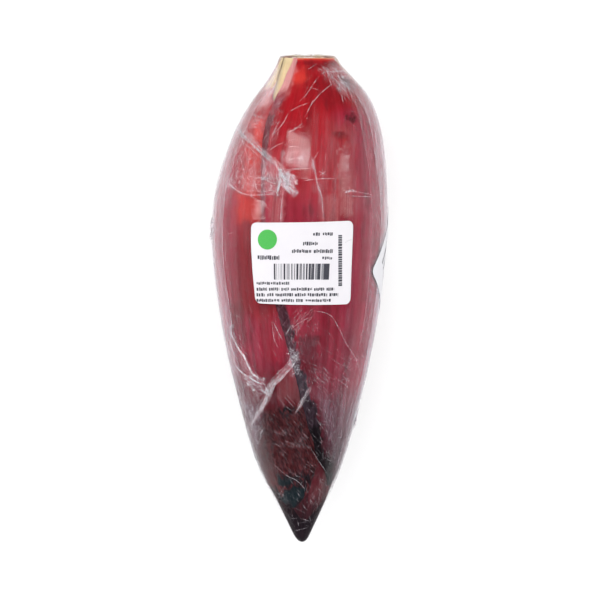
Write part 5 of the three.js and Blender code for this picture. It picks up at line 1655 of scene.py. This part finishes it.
def ink_material(name, colour, light):
    g = Graph(name)
    a = g.attr("sheet", True)
    n = g.noise(g.mapped(a, (3.0, 3.0, 1.0)), detail=3.0, rough=0.6)
    p = g.node("ShaderNodeBsdfPrincipled", {
        "Base Color": g.mix(g.span(n, 0.45, 0.8, 0.0, 1.0), colour, light), "Roughness": 0.6})
    return g.surface(p.outputs[0])


def label(name, at, cols=100, rows=82):
    w, h, corner = LABEL["w"], LABEL["h"], LABEL["corner"]
    ramp = np.array([0, 0.04, 0.15, 0.35, 0.65])
    b = np.concatenate([-h / 2 + corner * ramp, np.linspace(-h / 2 + corner, h / 2 - corner, rows - 10), (h / 2 - corner * ramp)[::-1]])
    into = np.maximum(0, np.abs(b) - (h / 2 - corner))
    half = w / 2 - corner + np.sqrt(np.maximum(0, corner ** 2 - into ** 2))
    u = np.linspace(-1, 1, cols)
    A, B = half[:, None] * u[None, :], np.broadcast_to(b[:, None], (len(b), cols))
    askew = 1.0 if at is FRONT_LABEL else 0.0
    P, Q = A - 0.044 * askew * B, B * (1 + 0.0016 * askew * A * (B > 0))
    out = label_place(at, P, Q, LABEL["lift"] + LABEL["thick"])
    inn = label_place(at, P[::3, ::3], Q[::3, ::3], LABEL["lift"])
    verts, faces = plate(out, inn)
    sheet = np.concatenate([np.stack([A, B, A * 0], -1).reshape(-1, 3),
                            np.stack([A[::3, ::3], B[::3, ::3], A[::3, ::3] * 0 + 5], -1).reshape(-1, 3)])
    return make_mesh(name, verts, faces, dict(sheet=sheet))


class Ink:
    """Printed marks, and a painted crease shade: thin raised patches on a label."""

    def __init__(self, at):
        self.at, self.v, self.f, self.s, self.n = at, [], [], [], 0

    def rect(self, a0, b0, a1, b1, step=1.6):
        na, nb = max(2, int(abs(a1 - a0) / step) + 2), max(2, int(abs(b1 - b0) / step) + 2)
        A, B = np.meshgrid(np.linspace(a0, a1, na), np.linspace(b0, b1, nb))
        self.v.append(label_place(self.at, A, B, LABEL["lift"] + LABEL["thick"] + 0.03).reshape(-1, 3))
        self.f.append(grid_faces(nb, na, self.n))
        self.s.append(np.stack([A, B, A * 0], -1).reshape(-1, 3))
        self.n += na * nb

    def disc(self, ca, cb, r, rings=8, n=48):
        f = np.linspace(0.0, 1, rings + 1)[1:]
        t = np.arange(n) * 2 * math.pi / n
        A = np.concatenate([[ca], (ca + r * f[:, None] * np.cos(t)).ravel()])
        B = np.concatenate([[cb], (cb + r * f[:, None] * np.sin(t)).ravel()])
        self.v.append(label_place(self.at, A, B, LABEL["lift"] + LABEL["thick"] + 0.03))
        i = np.arange(n)
        self.f3 = np.stack([np.full(n, self.n), self.n + 1 + i, self.n + 1 + (i + 1) % n], -1)
        faces = []
        for j in range(rings - 1):
            a = self.n + 1 + j * n
            faces.append(np.stack([a + i, a + n + i, a + n + (i + 1) % n, a + (i + 1) % n], -1))
        self.f.append(np.concatenate(faces))
        self.s.append(np.stack([A, B, A * 0], -1))
        self.n += len(A)

    def build(self, name, material):
        faces = [np.concatenate(self.f)]
        if hasattr(self, "f3"):
            faces.append(self.f3)
        o = make_mesh(name, np.concatenate(self.v), faces, dict(sheet=np.concatenate(self.s)))
        return finish_piece(o, material, "front_label" if self.at is FRONT_LABEL else "side_label")


MAT["paper"] = paper_material("label_paper", (0.700, 0.680, 0.708))
MAT["paper_side"] = paper_material("label_paper_side", (0.660, 0.655, 0.680))
finish_piece(label("label_front", FRONT_LABEL), MAT["paper"], "front_label", "front_label")
finish_piece(label("label_side", SIDE_LABEL), MAT["paper_side"], "side_label", "side_label")


MAT["ink"] = ink_material("label_ink", (0.035, 0.035, 0.05), (0.12, 0.12, 0.14))
MAT["ink_worn"] = ink_material("label_ink_worn", (0.22, 0.22, 0.24), (0.40, 0.40, 0.43))


def px_on_label(px, py):
    t, s = under(px, py)
    return label_coordinates(FRONT_LABEL, t, s)


def print_front():
    rng = np.random.RandomState(7)
    black, grey = Ink(FRONT_LABEL), Ink(FRONT_LABEL)

    def row(x0, x1, y, high, words):
        """A row of small blocks in place of words, between places x0 and x1 of the picture."""
        total = sum(words) + 0.7 * (len(words) - 1)
        at, k = x0, (x1 - x0) / total
        for wlen in words:
            end = at + wlen * k
            while at < end - 0.5:
                d = min(end - at, rng.choice([1.3, 1.7, 2.1, 2.6]))
                a, b = px_on_label([at, at + d * rng.uniform(0.62, 0.82)], [y, y])
                lo, hi = rng.choice([0.5, 0.5, 0.42, 0.30]), rng.choice([0.5, 0.5, 0.40, 0.30])
                black.rect(a[0], b[0] - high * lo, a[1], b[1] + high * hi, 3.0)
                at += d
            at = end + 0.7 * k

    row(313, 333, 234.0, 1.55, [3, 4])
    row(303, 318, 243.5, 1.7, [4])
    row(292, 333, 251.0, 1.75, [6, 6])
    row(322, 332, 258.0, 1.4, [3])
    row(258, 280, 257.5, 2.0, [5])
    row(257, 290, 283.1, 1.35, [9])
    row(257, 334, 289.0, 1.5, [4, 4, 3, 8, 4, 3])
    row(257, 338, 294.6, 1.5, [4, 3, 8, 5, 9, 4])
    row(257, 331, 300.2, 1.45, [9, 5, 3, 10])
    # the upright row near the right edge
    y = 235.0
    while y < 285:
        d = rng.uniform(1.6, 3.0)
        a, b = px_on_label([338.0, 341.6], [y, y + d * 0.75])
        black.rect(a[0], b[1], a[1], b[0], 3.0)
        y += d
    # bars
    x = 274.0
    while x < 329:
        w = rng.choice([0.6, 0.6, 1.2, 1.8])
        a, b = px_on_label([x, x + w], [263.5, 279.5])
        (black if rng.rand() > 0.25 else grey).rect(a[0], b[1], a[1], b[0], 4.0)
        x += w + rng.choice([0.6, 0.9, 1.4])
    # painted shade of a small crease that runs in from the right edge, drawn as a grey line
    crease_shade = Ink(FRONT_LABEL)
    way = np.array([(344.6, 243.0), (346.0, 241.4), (347.8, 240.4), (349.6, 239.8), (351.2, 239.5)])
    for (x0, y0), (x1, y1) in zip(way[:-1], way[1:]):
        a, b = px_on_label([x0, x1], [(y0 + y1) / 2, (y0 + y1) / 2])
        crease_shade.rect(a[0], b[0] - 0.16, a[1], b[1] + 0.16, 3.0)
    crease_shade.build("label_front_crease_shade", ink_material("label_crease_shade", (0.50, 0.48, 0.51), (0.60, 0.58, 0.61)))
    # a plain green disc
    green = Ink(FRONT_LABEL)
    a, b = px_on_label([267.5], [239.5])
    green.disc(float(a[0]), float(b[0]), 4.6)
    black.build("label_front_print", MAT["ink"])
    grey.build("label_front_print_grey", MAT["ink_worn"])
    green.build("label_front_disc", ink_material("label_ink_green", (0.055, 0.40, 0.065), (0.10, 0.50, 0.11)))


def print_side():
    """Plain bars, block rows and two rules on the second label."""
    rng = np.random.RandomState(17)
    black, grey = Ink(SIDE_LABEL), Ink(SIDE_LABEL)
    for b in (4.4, -15.2):
        grey.rect(-15.0, b, 20.7, b + 0.25)
    x = -14.0
    while x < 5.0:
        w = rng.choice([0.28, 0.28, 0.56, 0.84])
        black.rect(x, -7.5, x + w, 2.0, 4.0)
        x += w + rng.choice([0.30, 0.42, 0.66])

    def row(a0, a1, b, high, words):
        total = sum(words) + 0.7 * (len(words) - 1)
        at, k = a0, (a1 - a0) / total
        for n in words:
            end = at + n * k
            while at < end - 0.25:
                d = min(end - at, rng.choice([0.62, 0.8, 1.0, 1.2]))
                lo, hi = rng.choice([0.5, 0.5, 0.42, 0.30]), rng.choice([0.5, 0.5, 0.40, 0.30])
                black.rect(at, b - high * lo, at + d * rng.uniform(0.62, 0.82), b + high * hi, 3.0)
                at += d
            at = end + 0.7 * k

    row(-14.0, 12.0, 12.2, 2.2, [5, 7])
    row(-14.0, 18.0, 7.6, 1.4, [4, 6, 3, 7])
    row(-14.0, 5.0, -11.4, 1.4, [6, 5])
    for b in (0.6, -2.6, -5.8, -9.0, -12.2):
        row(8.0, 18.4, b, 1.3, [3, 4])
    black.build("label_side_print", MAT["ink"])
    grey.build("label_side_rules", MAT["ink_worn"])


print_front()
print_side()


# ------------------------------------------------------------------ floor, light, camera
def setting():
    sc = bpy.context.scene
    sc.view_settings.view_transform = "Standard"
    g = Graph("studio_floor")
    n = g.noise(g.node("ShaderNodeTexCoord").outputs["Object"], scale=3.0, detail=2.0)
    d = g.node("ShaderNodeBsdfDiffuse", {"Color": g.mix(n, (0.86, 0.86, 0.865), (0.88, 0.88, 0.885))})
    e = g.node("ShaderNodeEmission", {"Color": (1, 1, 1, 1), "Strength": 1.08})
    m = g.node("ShaderNodeMixShader", {"Fac": 0.62})
    g.t.links.new(d.outputs[0], m.inputs[1])
    g.t.links.new(e.outputs[0], m.inputs[2])
    g.surface(m.outputs[0])
    w = 6000.0
    k = np.linspace(-w / 2, w / 2, 5)
    X, Y = np.meshgrid(k, k)
    floor = make_mesh("studio_floor", np.stack([X, Y, X * 0 - 0.05], -1).reshape(-1, 3), [grid_faces(5, 5)])
    floor.data.materials.append(g.mat)

    world = bpy.data.worlds.new("studio")
    sc.world = world
    world.use_nodes = True
    t = world.node_tree
    t.nodes.clear()
    out = t.nodes.new("ShaderNodeOutputWorld")
    path = t.nodes.new("ShaderNodeLightPath")
    seen_bg = t.nodes.new("ShaderNodeBackground")
    seen_bg.inputs["Color"].default_value = (1, 1, 1, 1)
    seen_bg.inputs["Strength"].default_value = 1.0
    coord = t.nodes.new("ShaderNodeTexCoord")
    split = t.nodes.new("ShaderNodeSeparateXYZ")
    t.links.new(coord.outputs["Generated"], split.inputs[0])
    ramp = t.nodes.new("ShaderNodeValToRGB")
    t.links.new(split.outputs["Z"], ramp.inputs["Fac"])
    e = ramp.color_ramp.elements
    def fill(e, stops):
        for at, v in stops:
            if at in (0.0, 1.0):
                x = e[0] if at == 0 else e[-1]
            else:
                x = e.new(at)
            x.position = at
            x.color = (v, v, v * 1.01, 1)

    fill(e, ((0.0, 1.2), (0.2, 1.05), (0.45, 0.48), (0.7, 0.16), (1.0, 0.11)))
    # what the film mirrors: a dim room, dark beyond both ends of the bud
    ramp2 = t.nodes.new("ShaderNodeValToRGB")
    t.links.new(split.outputs["Z"], ramp2.inputs["Fac"])
    fill(ramp2.color_ramp.elements, ((0.0, 0.62), (0.15, 0.36), (0.4, 0.10), (0.7, 0.04), (1.0, 0.03)))
    ends = t.nodes.new("ShaderNodeMath")
    ends.operation = "ABSOLUTE"
    t.links.new(split.outputs["Y"], ends.inputs[0])
    dim = t.nodes.new("ShaderNodeMapRange")
    dim.interpolation_type = "SMOOTHSTEP"
    for name, v in (("From Min", 0.30), ("From Max", 0.85), ("To Min", 1.0), ("To Max", 0.10)):
        dim.inputs[name].default_value = v
    t.links.new(ends.outputs[0], dim.inputs["Value"])
    mirrored_bg = t.nodes.new("ShaderNodeBackground")
    t.links.new(ramp2.outputs["Color"], mirrored_bg.inputs["Color"])
    t.links.new(dim.outputs[0], mirrored_bg.inputs["Strength"])
    lit = t.nodes.new("ShaderNodeBackground")
    lit.inputs["Strength"].default_value = 1.0
    t.links.new(ramp.outputs["Color"], lit.inputs["Color"])
    both = t.nodes.new("ShaderNodeMixShader")
    t.links.new(path.outputs["Is Glossy Ray"], both.inputs[0])
    t.links.new(lit.outputs[0], both.inputs[1])
    t.links.new(mirrored_bg.outputs[0], both.inputs[2])
    mix = t.nodes.new("ShaderNodeMixShader")
    t.links.new(path.outputs["Is Camera Ray"], mix.inputs[0])
    t.links.new(both.outputs[0], mix.inputs[1])
    t.links.new(seen_bg.outputs[0], mix.inputs[2])
    t.links.new(mix.outputs[0], out.inputs["Surface"])

    def area(name, where, size, radiance, shape="RECTANGLE", target=(0, 0.02, 0.05), mirrored=True, across=None):
        l = bpy.data.lights.new(name, "AREA")
        l.shape = shape
        l.size = size[0]
        l.size_y = size[1]
        a = size[0] * size[1] * (math.pi / 4 if shape in ("DISK", "ELLIPSE") else 1)
        l.energy = radiance * math.pi * a
        o = bpy.data.objects.new(name, l)
        o.location = where
        away = (Vector(where) - Vector(target)).normalized()
        side = Vector(across if across else (1, 0, 0))
        side = (side - away * side.dot(away)).normalized()
        o.rotation_euler = Matrix((side, away.cross(side), away)).transposed().to_euler()
        o.visible_glossy = mirrored
        sc.collection.objects.link(o)
        return o

    def at(north, east, far):
        """A place at a slant from above: degrees towards +Y and towards +X."""
        v = np.array([math.tan(east * RAD), math.tan(north * RAD), 1.0])
        v = v / np.linalg.norm(v) * far
        return (v[0], v[1] + 0.03, v[2] + 0.04)

    area("softbox", (-0.180, 0.444, 0.937), (0.46, 0.29), 7.4, across=(500, -47, 127))
    area("overhead", at(0, 0, 1.9), (1.9, 1.1), 1.85, mirrored=False)
    area("front_fill", at(-58, 0, 1.6), (1.3, 0.6), 4.6, mirrored=False)
    area("top_fill", at(56, 0, 1.5), (1.0, 0.6), 2.4, mirrored=False)
    area("side_left", (-1.25, 0.05, 0.50), (1.5, 0.7), 1.9, mirrored=False, across=(0, 1, 0))
    area("side_right", (1.25, 0.05, 0.50), (1.5, 0.7), 1.9, mirrored=False, across=(0, 1, 0))
    area("spot_left", (-0.827, 0.115, 0.659), (0.25, 0.175), 7.0, "ELLIPSE", across=(176, -17, 239))
    area("spot_right", (0.842, 0.240, 0.610), (0.26, 0.105), 5.0, across=(235, -43, -329))

    cam = bpy.data.cameras.new("camera")
    cam.sensor_width = 36.0
    cam.lens = PX * 36 / 600
    cam.clip_start, cam.clip_end = 0.05, 20
    o = bpy.data.objects.new("camera", cam)
    o.location = (CAMERA_X * MM, 0, CAMERA_HEIGHT * MM)
    o.rotation_euler = (0, 0, 0)
    sc.collection.objects.link(o)
    sc.camera = o


setting()
